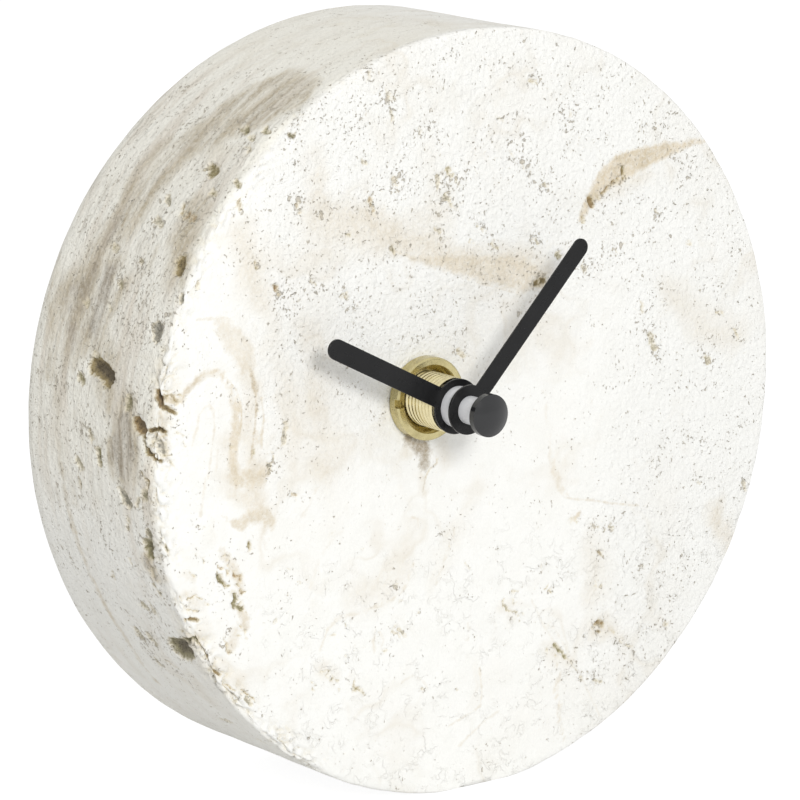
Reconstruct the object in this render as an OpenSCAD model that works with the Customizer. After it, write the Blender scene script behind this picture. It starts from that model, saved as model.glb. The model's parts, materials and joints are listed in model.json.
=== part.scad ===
// Round table clock: a cast stone drum with a quartz movement set off its centre.
// All lengths are millimetres. X runs to the right as seen from the front,
// Y runs from the front face to the back, and Z runs up.
// The origin is the centre of the flat foot under the drum, at half its depth.

/* [Stone drum] */
// Thickness of stone round the corner of the movement's pocket that lies nearest to the rim
corner_wall = 7.5; // [6:0.5:20]
// Depth of the drum from its front face to its back face
drum_depth = 35; // [33:0.5:45]
// Width of the flat foot that the drum stands on
foot_w = 16; // [10:0.5:22]
// Thickness of stone left in front of the movement
front_wall = 8.5; // [7.5:0.25:10]
// Rounding of the front edge
front_edge_r = 0.5; // [0.3:0.1:1.5]
// Rounding of the back edge
back_edge_r = 5; // [3:0.25:5.25]
// Distance of the hand shaft to the left of the drum's axis
shaft_left = 9.75; // [8:0.25:10]
// Distance of the hand shaft above the drum's axis
shaft_up = 3.95; // [2:0.25:4.5]
// Free space round the movement in its pocket
pocket_gap = 0.5; // [0.4:0.1:0.8]
// Free space round the threaded tube in its hole
tube_hole_gap = 0.3; // [0.2:0.1:1]

/* [Fixing] */
// Outer diameter of the threaded tube
thread_d = 7.8; // [7:0.1:8]
// Distance from one thread to the next
thread_pitch = 0.75; // [0.5:0.05:1]
// Depth of the thread
thread_depth = 0.3; // [0.15:0.05:0.35]
// How far the threaded tube stands out of the front face
tube_out = 6.7; // [4:0.1:7]
// Diameter of the tube's collar inside the movement
collar_d = 11; // [10:0.25:13]
// Thickness of the tube's collar
collar_t = 0.4; // [0.3:0.05:0.5]
// Outer diameter of the round nut
nut_d = 11.8; // [11:0.1:14]
// Thickness of the round nut
nut_t = 2; // [1.5:0.1:3]
// Mouth diameter of the nut's countersink
nut_sink_d = 9.8; // [9:0.1:10.4]
// Depth of the nut's countersink
nut_sink_depth = 1; // [0.5:0.1:1.2]
// Width of the nut's driving slots
nut_slot_w = 1.2; // [0.8:0.1:2]
// Depth of the nut's driving slots
nut_slot_depth = 0.8; // [0.5:0.1:1.1]
// Diameter of the rubber washer behind the stone
washer_d = 22; // [16:0.5:30]
// Thickness of the rubber washer
washer_t = 0.8; // [0.5:0.1:1.5]

/* [Hands] */
// Angle of the hour hand, clockwise from twelve
hour_angle = 297.25; // [0:0.25:360]
// Length of the hour hand from the shaft to its tip
hour_len = 24.6; // [15:0.1:32]
// Width of the hour hand
hour_w = 2.87; // [2:0.05:4]
// Diameter of the hour hand's ring
hour_ring_d = 7.8; // [7:0.1:10]
// Distance from the front face to the back of the hour hand
hour_out = 7.5; // [7.1:0.1:9]
// Angle of the minute hand, clockwise from twelve
minute_angle = 43.75; // [0:0.25:360]
// Length of the minute hand from the shaft to its tip
minute_len = 29.7; // [20:0.1:40]
// Width of the minute hand
minute_w = 2.56; // [2:0.05:4]
// Diameter of the minute hand's ring
minute_ring_d = 7; // [5.5:0.1:9]
// Distance from the hour hand to the back of the minute hand
minute_beyond_hour = 2.3; // [1:0.1:3]
// Thickness of the hands' sheet metal
hand_t = 0.4; // [0.3:0.05:0.6]
// Diameter of the cap in front of the hands
cap_d = 6; // [5.2:0.1:8]
// Length of the cap's straight side
cap_side = 1; // [0.8:0.1:2]
// Height of the cap's dome
cap_dome = 0.8; // [0.4:0.1:1.2]
// Distance from the front of the minute hand to the back of the cap
cap_beyond_minute = 3.7; // [2:0.1:5]
// Depth of the recess at the back of the cap, over the end of the minute pipe
cap_recess = 0.5; // [0.4:0.05:0.7]
// Free space round the minute pipe in that recess
cap_recess_gap = 0.3; // [0.2:0.05:0.4]

/* [Shafts] */
// Outer diameter of the hour pipe
hour_pipe_d = 5.8; // [5.4:0.05:6]
// Outer diameter of the minute pipe
minute_pipe_d = 3.95; // [3.6:0.05:4.1]
// Diameter of the seconds arbor inside the minute pipe
arbor_d = 1.5; // [1.2:0.05:1.5]
// Diameter of the small arbors of the train
pivot_d = 0.8; // [0.6:0.05:0.9]
// Diameter of the reversing wheel's arbor
reverser_arbor_d = 1.2; // [1:0.05:1.5]
// Diameter of the setting shaft
setting_shaft_d = 3; // [2.5:0.1:3.2]
// Radial clearance of every turning fit
running_fit = 0.06; // [0.03:0.01:0.09]
// Radial clearance of every pressed-on piece
press_fit = 0.01; // [0.01:0.005:0.02]

/* [Movement case] */
// Depth of the movement's case
case_depth = 16.5; // [16.5:0.25:18]
// Thickness of the case's side walls
case_wall = 1.5; // [1:0.1:1.6]
// Thickness of the case's front wall
case_front = 1.2; // [1:0.1:1.3]
// Radius of the case's upper corners
case_corner_r = 6; // [5:0.25:8]
// Radius of the case's lower corners
case_foot_r = 2; // [1:0.25:3]
// Thickness of the back cover
cover_t = 1.5; // [1:0.1:1.8]
// Gap round the back cover
cover_gap = 0.15; // [0.1:0.05:0.3]
// Diameter of the setting knob
knob_d = 9; // [7:0.25:10]
// Thickness of the setting knob
knob_t = 3; // [2:0.25:4]
// Number of grip notches round the setting knob
knob_notches = 18; // [8:1:24]
// Diameter of each grip notch
knob_notch_d = 0.9; // [0.5:0.1:1.1]

/* [Battery] */
// Diameter of the cell
cell_d = 14.4; // [14:0.1:14.5]
// Length of the cell's body
cell_len = 49.3; // [48.5:0.1:49.5]
// Diameter of the cell's positive button
button_d = 5.4; // [4:0.1:5.5]
// Height of the cell's positive button
button_len = 1.1; // [1:0.1:1.2]
// Least reach of the sprung contact, from the bay's end to the cell
spring_reach = 2.2; // [1.5:0.1:3]
// Free space round the cell in its bay
cell_gap = 0.25; // [0.2:0.05:0.35]
// Thickness of the wall between the bay and the wheels
divider_t = 1.2; // [1:0.1:1.4]
// Thickness of the contact strips
strip_t = 0.4; // [0.3:0.05:0.45]

/* [Wheels and pinions] */
// Teeth of the setting gear
setting_gear_z = 14; // [12:1:16]
// Diameter of the reversing wheel at the middle of its teeth
reverser_wheel_d = 18; // [17.5:0.1:18.2]
// Diameter of the third wheel at the middle of its teeth
third_wheel_d = 16.2; // [16:0.1:16.6]
// Diameter of the second wheel at the middle of its teeth
second_wheel_d = 15.5; // [15.3:0.1:15.9]
// Diameter of the intermediate wheel at the middle of its teeth
intermediate_wheel_d = 12.5; // [12.2:0.1:12.8]
// Thickness of the hour wheel and the reversing wheel
hand_wheel_t = 1; // [0.8:0.05:1.1]
// Thickness of the train's wheels
train_wheel_t = 0.8; // [0.6:0.05:0.85]
// Free space between neighbouring wheels along the shaft
wheel_gap = 0.4; // [0.3:0.05:0.45]
// Diameter of the hub of the drive wheel
drive_hub_d = 6.4; // [5.5:0.1:8]

/* [Plates] */
// Thickness of the middle plate and of the rear bridge
plate_t = 1; // [0.8:0.05:1.1]
// Free space between a plate and the nearest wheel
plate_gap = 0.6; // [0.5:0.05:0.7]
// Diameter of the posts up to the middle plate
post_d = 4; // [3.2:0.1:4.2]
// Free space between a post and the nearest wheel
post_gap = 0.45; // [0.4:0.05:0.8]
// Diameter of the posts above the middle plate
post_top_d = 3; // [2.6:0.1:3.1]
// Diameter of the train's screws
screw_d = 1.5; // [1.2:0.1:1.8]
// Free space round a screw in the piece that it holds down
screw_hole_gap = 0.3; // [0.2:0.05:0.4]
// Diameter of the bosses that carry the back cover
boss_d = 5; // [4:0.1:5.2]
// Diameter of the screws' heads
screw_head_d = 2.8; // [2.4:0.1:3]
// Height of the screws' heads
screw_head_t = 0.8; // [0.6:0.1:1]
// Length of the screws below their heads
screw_len = 4; // [3:0.25:5]

/* [Motor] */
// Diameter of the rotor's magnet
magnet_d = 5; // [4:0.1:5.1]
// Length of the rotor's magnet
magnet_t = 1.4; // [1:0.1:1.6]
// Free space round the magnet in the stator
magnet_gap = 0.4; // [0.3:0.05:0.5]
// Thickness of the stator plate
stator_t = 0.8; // [0.6:0.05:0.9]
// Height of the stator's cross bar
stator_bar_h = 7.6; // [7:0.1:8]
// Free height between the stator's cross bar and the coil
coil_rise = 3.95; // [1:0.05:4.5]
// Width of the stator's two legs
leg_w = 3; // [2.5:0.1:3.2]
// Distance between the stator's two legs
legs_apart = 11.1; // [10.5:0.1:11.5]
// Diameter of the coil's winding
winding_d = 6.8; // [5.5:0.1:7]
// Diameter of the bobbin's flanges
flange_d = 7.2; // [6.5:0.1:7.4]
// Thickness of the bobbin's flanges
flange_t = 0.8; // [0.6:0.05:1]
// Diameter of the bobbin's tube
bobbin_d = 4.4; // [4.1:0.1:5]
// Thickness of the coil's core
core_t = 1.2; // [1:0.05:1.4]

/* [Electronics] */
// Width of the circuit board
board_w = 7.2; // [6:0.1:7.4]
// Height of the circuit board
board_h = 30; // [24:0.5:31]
// Thickness of the circuit board
board_t = 1; // [0.8:0.1:1.2]
// Diameter of the quartz crystal's can
crystal_d = 2.2; // [1.8:0.1:2.4]
// Length of the quartz crystal's can
crystal_len = 6; // [5:0.25:8]
// Diameter of the cover over the chip
chip_d = 6; // [5:0.25:6.2]
// Height of the cover over the chip
chip_h = 1.2; // [0.8:0.1:1.6]

/* [Hidden] */
$fn = 64;

// Overrun of every cut past the face that it opens
cut = 1;

// Tooth counts of the hands' reduction, 1 to 12, and of the train, 30 to 1 and 1 to 60
// Teeth of the minute pinion
minute_pinion_z = 12;
// Teeth of the reversing wheel
reverser_wheel_z = 36;
// Teeth of the reversing pinion
reverser_pinion_z = 10;
// Teeth of the hour wheel
hour_wheel_z = 40;
// Teeth of the pinions on the seconds arbor and the third arbor
train_pinion_z = 8;
// Teeth of the third wheel
third_wheel_z = 60;
// Teeth of the drive wheel
drive_wheel_z = 64;
// Teeth of the second wheel
second_wheel_z = 50;
// Teeth of the intermediate pinion
intermediate_pinion_z = 10;
// Teeth of the intermediate wheel
intermediate_wheel_z = 48;
// Teeth of the rotor pinion
rotor_pinion_z = 8;

// Depths inside the movement, counted from the front of its case
cover_depth = case_depth - cover_t;
collar_depth = case_front + collar_t;
hour_depth = collar_depth + wheel_gap;
reverser_depth = hour_depth + hand_wheel_t + wheel_gap;
middle_depth = reverser_depth + hand_wheel_t + plate_gap;
drive_depth = middle_depth + plate_t + wheel_gap;
third_depth = drive_depth + train_wheel_t + plate_gap;
second_depth = third_depth + train_wheel_t + plate_gap;
intermediate_depth = second_depth + train_wheel_t + plate_gap;
bridge_depth = intermediate_depth + train_wheel_t + plate_gap;
bridge_back = bridge_depth + plate_t;

// Height of things in front of the face
minute_out = hour_out + hand_t + minute_beyond_hour;
cap_out = minute_out + hand_t + cap_beyond_minute;
// Space between an end of a pipe and the turning piece in front of it
end_gap = 0.3;
hour_pipe_out = minute_out - end_gap;
minute_pipe_out = cap_out + cap_recess - end_gap;
// How far a pinion is wider than the wheel that it meets, on each side
pinion_over = 0.1;

// Tooth form: tip and root as shares of the module, and thinning for free running
tip_share = 0.8;
root_share = 1.1;
thinning_share = 0.09;
pressure_angle = 20;

// Modules of the teeth, and the centre distances of the wheels that follow from them
hand_module = reverser_wheel_d / reverser_wheel_z;
third_module = third_wheel_d / third_wheel_z;
second_module = second_wheel_d / second_wheel_z;
rotor_module = intermediate_wheel_d / intermediate_wheel_z;
reverser_reach = (minute_pinion_z + reverser_wheel_z) * hand_module / 2;
hour_module = 2 * reverser_reach / (hour_wheel_z + reverser_pinion_z);
setting_reach = (reverser_wheel_z + setting_gear_z) * hand_module / 2;
third_reach = (train_pinion_z + third_wheel_z) * third_module / 2;
drive_module = 2 * third_reach / (drive_wheel_z + train_pinion_z);
intermediate_reach = (second_wheel_z + intermediate_pinion_z) * second_module / 2;
rotor_reach = (intermediate_wheel_z + rotor_pinion_z) * rotor_module / 2;

// Directions from one arbor to the next, seen from the front, counted from the right
reverser_dir = 150;
setting_dir = 250;
third_dir = 45;
intermediate_dir = 160;
rotor_dir = 100;

// Arbors, as places about the hand shaft seen from the front
function polar(reach, dir) = [reach * cos(dir), reach * sin(dir)];
reverser_at = polar(reverser_reach, reverser_dir);
setting_at = reverser_at + polar(setting_reach, setting_dir);
third_at = polar(third_reach, third_dir);
intermediate_at = polar(intermediate_reach, intermediate_dir);
rotor_at = intermediate_at + polar(rotor_reach, rotor_dir);

// A wheel in mesh: the turn of its first tooth that puts a gap opposite the other wheel's tooth
function mesh_turn(z_a, turn_a, dir, z_b) = dir + 180 + (180 - z_a * (turn_a - dir)) / z_b;
minute_turn = reverser_dir;
reverser_wheel_turn = mesh_turn(minute_pinion_z, minute_turn, reverser_dir, reverser_wheel_z);
hour_turn = reverser_dir;
reverser_pinion_turn = mesh_turn(hour_wheel_z, hour_turn, reverser_dir, reverser_pinion_z);
setting_turn = mesh_turn(reverser_wheel_z, reverser_wheel_turn, setting_dir, setting_gear_z);
second_pinion_turn = third_dir;
third_wheel_turn = mesh_turn(train_pinion_z, second_pinion_turn, third_dir, third_wheel_z);
drive_turn = third_dir;
third_pinion_turn = mesh_turn(drive_wheel_z, drive_turn, third_dir, train_pinion_z);
second_wheel_turn = intermediate_dir;
intermediate_pinion_turn =
    mesh_turn(second_wheel_z, second_wheel_turn, intermediate_dir, intermediate_pinion_z);
intermediate_wheel_turn = rotor_dir;
rotor_turn = mesh_turn(intermediate_wheel_z, intermediate_wheel_turn, rotor_dir, rotor_pinion_z);

// Posts that carry the plates: two beside the hour wheel and two beside the third wheel
hour_tip_r = (hour_wheel_z / 2 + tip_share) * hour_module;
third_tip_r = (third_wheel_z / 2 + tip_share) * third_module;
hour_post_dirs = [329, 224];
third_post_dirs = [49, 115];
hour_post_reach = hour_tip_r + post_gap + post_d / 2;
third_post_reach = third_tip_r + post_gap + post_d / 2;
post_places = [for (dir = hour_post_dirs) polar(hour_post_reach, dir),
    for (dir = third_post_dirs) third_at + polar(third_post_reach, dir)];
post_eye_d = post_d + 2 * plate_t;

// Stator legs and coil, above the rotor
stator_depth = third_depth - (stator_t - train_wheel_t) / 2 - wheel_gap / 2;
stator_top = rotor_at[1] + stator_bar_h / 2;
coil_v = stator_top + coil_rise + flange_d / 2;
leg_left = rotor_at[0] - legs_apart / 2 - leg_w - wheel_gap * 2;
leg_right = leg_left + leg_w + legs_apart;
core_depth = stator_depth + stator_t;
coil_depth = core_depth + core_t / 2;
leg_places = [[leg_left + leg_w / 2, coil_v], [leg_right + leg_w / 2, coil_v]];
leg_peg_d = leg_w / 2;
bobbin_len = legs_apart - wheel_gap * 2;
bobbin_left = leg_left + leg_w + wheel_gap;
// The magnet stands level with the stator plate
magnet_depth = stator_depth + (stator_t - magnet_t) / 2;

// Room for the wheels, the motor and the board: half of its width is what the widest of three needs,
// which are the cell with its contacts, the stator beside a boss, and the board beside a post
cell_half = (cell_len + button_len + strip_t + spring_reach) / 2;
motor_half = boss_d + wheel_gap * 2 - leg_left;
board_half = post_places[2][0] + post_eye_d / 2 + wheel_gap + board_w + wheel_gap;
inner_half_w = max(cell_half, motor_half, board_half);
room_high = coil_v + flange_d / 2 + wheel_gap * 3;
room_low = -hour_tip_r - 2 * post_gap;

// Battery bay, below that room
cell_r = cell_d / 2;
bay_wall = strip_t * 5 / 2;
bay_high = room_low - divider_t;
cell_v = bay_high - cell_gap - cell_r;
bay_low = cell_v - cell_r - cell_gap;
cell_depth = case_front + cell_gap + cell_r;
cell_start = inner_half_w - strip_t - button_len - cell_len;
// Front edge of the divider's slots, clear of the contact strips
strip_slot_depth = cell_depth - button_d / 2 - strip_t;

// The movement's case round both
half_w = inner_half_w + case_wall;
case_high = room_high + case_wall;
case_low = bay_low - bay_wall;

// Bosses that carry the back cover: two in the upper corners and one at the left wall
boss_in = boss_d / 2 + strip_t / 4;
boss_places = [[inner_half_w - boss_in, room_high - boss_in],
    [-inner_half_w + boss_in, room_high - boss_in],
    [-inner_half_w + boss_in, room_low + 3 * boss_in]];
// Depth at which the cover's screw heads seat, counted from the cover's inner face
screw_sunk = cover_t - screw_head_t;

// Circuit board, on two pegs along the right wall
board_right = inner_half_w - wheel_gap;
board_left = board_right - board_w;
board_low = room_low + wheel_gap * 2;
board_depth = bridge_depth - wheel_gap * 2;
board_peg_d = board_w * 5 / 12;
board_mid = (board_left + board_right) / 2;
board_peg_shares = [0.2, 0.6];
// Where the chip and the crystal lie along the board, as shares of its height
chip_share = 0.4;
crystal_share = 0.66;

// Drum: the pocket's upper left corner lies nearest to the rim, and sets the radius
corner_at = [shaft_left + half_w - case_corner_r, shaft_up + case_high - case_corner_r];
drum_r = norm(corner_at) + case_corner_r + pocket_gap + corner_wall;
drum_d = 2 * drum_r;
// Its axis stands above the foot by the height at which the foot's width is reached
drum_z = sqrt(drum_r * drum_r - foot_w * foot_w / 4);
face_y = -drum_depth / 2;
back_y = drum_depth / 2;
shaft_x = -shaft_left;
shaft_z = drum_z + shaft_up;
pocket_y = face_y + front_wall;
case_y = pocket_y + washer_t;

// A flat outline, drawn as seen from the front about the hand shaft, between two depths
module slab(from_y, to_y) {
    translate([shaft_x, to_y, shaft_z])
        rotate([90, 0, 0])
            linear_extrude(to_y - from_y)
                children();
}

// The same, with depths counted into the movement from the front of its case
module layer(from_depth, to_depth) {
    slab(case_y + from_depth, case_y + to_depth)
        children();
}

// The same, with heights counted out of the stone's front face
module raised(from_out, to_out) {
    slab(face_y - to_out, face_y - from_out)
        children();
}

module disc(at, d) {
    translate(at)
        circle(d = d);
}

module ring(outer_d, inner_d) {
    difference() {
        circle(d = outer_d);
        circle(d = inner_d);
    }
}

// A rectangle given by its left, low, right and high edges
module panel(left, low, right, high) {
    translate([left, low])
        square([right - left, high - low]);
}

// The outline of the movement's case, let out by a gap
module case_outline(gap) {
    r_top = case_corner_r + gap;
    r_foot = case_foot_r + gap;
    side = half_w + gap;
    high = case_high + gap;
    low = case_low - gap;
    panel(-side, low + r_foot, side, high - r_top);
    panel(-side + r_top, high - r_top, side - r_top, high);
    panel(-side + r_foot, low, side - r_foot, low + r_foot);
    for (turn = [-1, 1]) {
        disc([turn * (side - r_top), high - r_top], 2 * r_top);
        disc([turn * (side - r_foot), low + r_foot], 2 * r_foot);
    }
}

// Involute function, in degrees
function inv(a) = tan(a) * 180 / PI - a;
// Half of a tooth's angle at a share of the pitch radius; below the base circle it stays narrow
function half_tooth(z, q) =
    let (q_base = cos(pressure_angle),
        a = q > q_base ? acos(q_base / q) : 0,
        half_pitch_tooth = 90 / z - thinning_share * 360 / (PI * z))
    half_pitch_tooth + inv(pressure_angle) - inv(a);

// Outline of a wheel or pinion with its first tooth turned to a given direction
module gear(z, m, turn) {
    r = z * m / 2;
    q_tip = 1 + 2 * tip_share / z;
    q_root = 1 - 2 * root_share / z;
    // A pinion's tooth is cut narrower at its foot, so that the wheel's tips pass
    foot_share = z < 17 ? 0.8 : 1;
    points = [for (i = [0 : z - 1])
        let (c = turn + i * 360 / z,
            foot = half_tooth(z, q_root) * foot_share,
            mid = half_tooth(z, 1),
            tip = half_tooth(z, q_tip))
        each [for (p = [[q_root, -foot], [1, -mid], [q_tip, -tip], [q_tip, tip], [1, mid], [q_root, foot]])
            polar(r * p[0], c + p[1])]];
    polygon(points);
}

// Half of the drum's section, with a rounding at each edge
module drum_profile() {
    panel(0, face_y, drum_r - front_edge_r, back_y - back_edge_r);
    panel(0, face_y, drum_r - back_edge_r, back_y);
    panel(0, face_y + front_edge_r, drum_r, back_y - back_edge_r);
    disc([drum_r - front_edge_r, face_y + front_edge_r], 2 * front_edge_r);
    disc([drum_r - back_edge_r, back_y - back_edge_r], 2 * back_edge_r);
}

// The stone drum, with its pocket at the back and the hole for the threaded tube
module stone_body() {
    color("#ece4d6")
        difference() {
            translate([0, 0, drum_z])
                rotate([-90, 0, 0])
                    rotate_extrude($fn = 128)
                        drum_profile();
            translate([-drum_r, face_y - cut, -drum_r])
                cube([drum_d, drum_depth + 2 * cut, drum_r]);
            slab(pocket_y, back_y + cut)
                case_outline(pocket_gap);
            slab(face_y - cut, pocket_y + cut)
                circle(d = thread_d + 2 * tube_hole_gap);
        }
}

module rubber_washer() {
    color("#2a2a2a")
        slab(pocket_y, case_y)
            ring(washer_d, thread_d + 2 * running_fit);
}

module fixing_nut() {
    bore_r = thread_d / 2 + running_fit;
    color("#c3b465")
        difference() {
            translate([shaft_x, face_y, shaft_z])
                rotate([90, 0, 0])
                    rotate_extrude()
                        polygon([[bore_r, 0], [nut_d / 2, 0], [nut_d / 2, nut_t], [nut_sink_d / 2, nut_t],
                            [bore_r, nut_t - nut_sink_depth]]);
            raised(nut_t - nut_slot_depth, nut_t + cut)
                for (side = [-1, 1])
                    translate([side * (bore_r + nut_d / 2) / 2, 0])
                        square([nut_d / 2, nut_slot_w], center = true);
        }
}

// Outline of the thread's crests and grooves along the tube, from its front end backwards
module thread_profile() {
    tube_len = tube_out + front_wall + washer_t + case_front;
    count = floor((tube_len - case_front) / thread_pitch);
    crest = thread_d / 2;
    grooves = [for (i = [0 : count - 1])
        let (start = (i + 0.5) * thread_pitch)
        each [[crest, start - thread_pitch / 4], [crest - thread_depth, start],
            [crest, start + thread_pitch / 4]]];
    polygon(concat([[hour_pipe_d / 2 + running_fit, 0], [crest, 0]], grooves,
        [[crest, tube_len], [collar_d / 2, tube_len], [collar_d / 2, tube_len + collar_t],
        [hour_pipe_d / 2 + running_fit, tube_len + collar_t]]));
}

module threaded_tube() {
    color("#cdbb6e")
        translate([shaft_x, face_y - tube_out, shaft_z])
            rotate([-90, 0, 0])
                rotate_extrude()
                    thread_profile();
}

// The movement's case: walls, front wall, battery bay, posts, pegs and bosses in one moulding
module movement_case() {
    blind = case_front / 3;
    color("#26262a") {
        difference() {
            layer(0, case_depth)
                case_outline(0);
            layer(case_front, case_depth + cut)
                room_outline(0);
            layer(case_front, case_depth + cut)
                panel(-inner_half_w, bay_low, inner_half_w, bay_high);
            layer(-cut, case_front + cut)
                circle(d = thread_d + 2 * press_fit);
            layer(blind, case_front + cut) {
                disc(reverser_at, reverser_arbor_d + 2 * running_fit);
                disc(setting_at, reverser_arbor_d + 2 * running_fit);
            }
            // Slots that let the contact strips through the divider
            layer(strip_slot_depth, case_depth + cut)
                for (side = [-1, 1])
                    translate([side * (inner_half_w - strip_t), (bay_high + room_low) / 2])
                        square([4 * strip_t, divider_t + cut], center = true);
        }
        posts();
        bosses();
    }
}

// Outline of the room for the wheels, drawn in by a gap
module room_outline(gap) {
    r = case_corner_r - case_wall - gap;
    right = inner_half_w - gap;
    high = room_high - gap;
    low = room_low + gap;
    panel(-right, low, right, high - r);
    panel(-right + r, high - r - cut, right - r, high);
    for (side = [-1, 1])
        disc([side * (right - r), high - r], 2 * r);
}

module posts() {
    difference() {
        union() {
            layer(case_front, middle_depth)
                for (p = post_places)
                    disc(p, post_d);
            layer(middle_depth, bridge_depth)
                for (p = post_places)
                    disc(p, post_top_d);
        }
        layer(bridge_depth - screw_len, bridge_depth + cut)
            for (p = post_places)
                disc(p, screw_d + 2 * press_fit);
    }
    layer(case_front, stator_depth)
        for (p = leg_places)
            disc(p, leg_w);
    layer(stator_depth, core_depth + core_t)
        for (p = leg_places)
            disc(p, leg_peg_d);
    layer(case_front, board_depth)
        for (share = board_peg_shares)
            disc([board_mid, board_low + share * board_h], board_peg_d);
}

module bosses() {
    difference() {
        layer(case_front, cover_depth)
            for (p = boss_places)
                disc(p, boss_d);
        layer(cover_depth + screw_sunk - screw_len, cover_depth + cut)
            for (p = boss_places)
                disc(p, screw_d + 2 * press_fit);
    }
}

module back_cover() {
    color("#1e1e22")
        difference() {
            layer(cover_depth, case_depth)
                room_outline(cover_gap);
            layer(cover_depth - cut, case_depth + cut) {
                disc(setting_at, setting_shaft_d + 2 * running_fit);
                for (p = boss_places)
                    disc(p, screw_d + 2 * screw_hole_gap);
            }
            layer(cover_depth + screw_sunk, case_depth + cut)
                for (p = boss_places)
                    disc(p, screw_head_d + 2 * screw_hole_gap);
        }
}

// One screw, its head seated at a depth in the movement
module screw(p, seat) {
    slot_w = screw_d / 3;
    difference() {
        union() {
            layer(seat, seat + screw_head_t)
                disc(p, screw_head_d);
            layer(seat - screw_len + screw_d, seat)
                disc(p, screw_d);
        }
        layer(seat + screw_head_t / 2, seat + screw_head_t + cut)
            translate(p)
                square([screw_head_d + cut, slot_w], center = true);
    }
}

module cover_screws() {
    color("#b9bcc0")
        for (p = boss_places)
            screw(p, cover_depth + screw_sunk);
}

// Outline shared by both plates: a panel with an eye round each post
module plate_outline(left) {
    right = third_at[0] + third_wheel_d / 2 - wheel_gap;
    panel(left, room_low + wheel_gap, right, stator_top + coil_rise - wheel_gap);
    for (p = post_places)
        intersection() {
            disc(p, post_eye_d);
            panel(-half_w, room_low + wheel_gap, board_left - wheel_gap, half_w);
        }
}

module middle_plate() {
    color("#d8d5c8")
        layer(middle_depth, middle_depth + plate_t)
            difference() {
                plate_outline(setting_at[0] - setting_shaft_d);
                for (p = post_places)
                    disc(p, post_top_d + 2 * press_fit);
                circle(d = minute_pipe_d + 2 * running_fit);
                disc(reverser_at, reverser_arbor_d + 2 * running_fit);
                disc(setting_at, setting_shaft_d + 2 * running_fit);
                for (p = [third_at, intermediate_at, rotor_at])
                    disc(p, pivot_d + 2 * running_fit);
            }
}

module rear_bridge() {
    color("#d8d5c8")
        layer(bridge_depth, bridge_back)
            difference() {
                plate_outline(rotor_at[0] - magnet_d / 2);
                for (p = post_places)
                    disc(p, screw_d + 2 * screw_hole_gap);
                for (p = [[0, 0], third_at, intermediate_at, rotor_at])
                    disc(p, pivot_d + 2 * running_fit);
            }
}

module bridge_screws() {
    color("#b9bcc0")
        for (p = post_places)
            screw(p, bridge_back);
}

// The hour wheel with its long pipe, which carries the hour hand
module hour_wheel() {
    color("#bfc0c2")
        difference() {
            union() {
                layer(hour_depth, hour_depth + hand_wheel_t)
                    gear(hour_wheel_z, hour_module, hour_turn);
                slab(face_y - hour_pipe_out, case_y + hour_depth + hand_wheel_t)
                    circle(d = hour_pipe_d);
            }
            slab(face_y - hour_pipe_out - cut, case_y + hour_depth + hand_wheel_t + cut)
                circle(d = minute_pipe_d + 2 * running_fit);
        }
}

// The minute pipe with its pinion; its rear end carries the drive wheel
module minute_pipe() {
    color("#bfc0c2")
        difference() {
            union() {
                layer(reverser_depth - pinion_over, reverser_depth + hand_wheel_t + pinion_over)
                    gear(minute_pinion_z, hand_module, minute_turn);
                slab(face_y - minute_pipe_out, case_y + third_depth - wheel_gap)
                    circle(d = minute_pipe_d);
            }
            slab(face_y - minute_pipe_out - cut, case_y + third_depth + cut)
                circle(d = arbor_d + 2 * running_fit);
        }
}

// The reversing wheel: a wheel driven by the minute pinion, and a pinion that drives the hour wheel
module reverser_wheel() {
    pivot_floor = case_front / 3 + running_fit;
    color("#e9e6dc")
        at_arbor(reverser_at) {
            layer(reverser_depth, reverser_depth + hand_wheel_t)
                gear(reverser_wheel_z, hand_module, reverser_wheel_turn);
            layer(hour_depth - pinion_over, reverser_depth)
                gear(reverser_pinion_z, hour_module, reverser_pinion_turn);
            layer(pivot_floor, middle_depth + plate_t)
                circle(d = reverser_arbor_d);
        }
}

// Moves layers from the hand shaft to another arbor
module at_arbor(place) {
    translate([place[0], 0, place[1]])
        children();
}

module setting_gear() {
    pivot_floor = case_front / 3 + running_fit;
    color("#e9e6dc")
        at_arbor(setting_at) {
            layer(reverser_depth - pinion_over, reverser_depth + hand_wheel_t + pinion_over)
                gear(setting_gear_z, hand_module, setting_turn);
            layer(reverser_depth, case_depth + knob_t)
                circle(d = setting_shaft_d);
            layer(pivot_floor, reverser_depth)
                circle(d = reverser_arbor_d);
        }
}

module setting_knob() {
    color("#34343a")
        at_arbor(setting_at)
            layer(case_depth + end_gap, case_depth + end_gap + knob_t)
                difference() {
                    circle(d = knob_d);
                    circle(d = setting_shaft_d + 2 * press_fit);
                    for (i = [0 : knob_notches - 1])
                        disc(polar(knob_d / 2, i * 360 / knob_notches), knob_notch_d);
                }
}

// The drive wheel turns the minute pipe through friction, so the hands can be set past it
module drive_wheel() {
    color("#e9e6dc")
        difference() {
            union() {
                layer(drive_depth, drive_depth + train_wheel_t)
                    gear(drive_wheel_z, drive_module, drive_turn);
                layer(drive_depth - pinion_over, drive_depth + train_wheel_t + pinion_over)
                    circle(d = drive_hub_d);
            }
            layer(drive_depth - cut, drive_depth + train_wheel_t + cut)
                circle(d = minute_pipe_d + 2 * running_fit);
        }
}

module third_wheel() {
    color("#e9e6dc")
        at_arbor(third_at) {
            layer(third_depth, third_depth + train_wheel_t)
                gear(third_wheel_z, third_module, third_wheel_turn);
            layer(drive_depth - pinion_over, third_depth)
                gear(train_pinion_z, drive_module, third_pinion_turn);
            layer(middle_depth, bridge_back)
                circle(d = pivot_d);
        }
}

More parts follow.
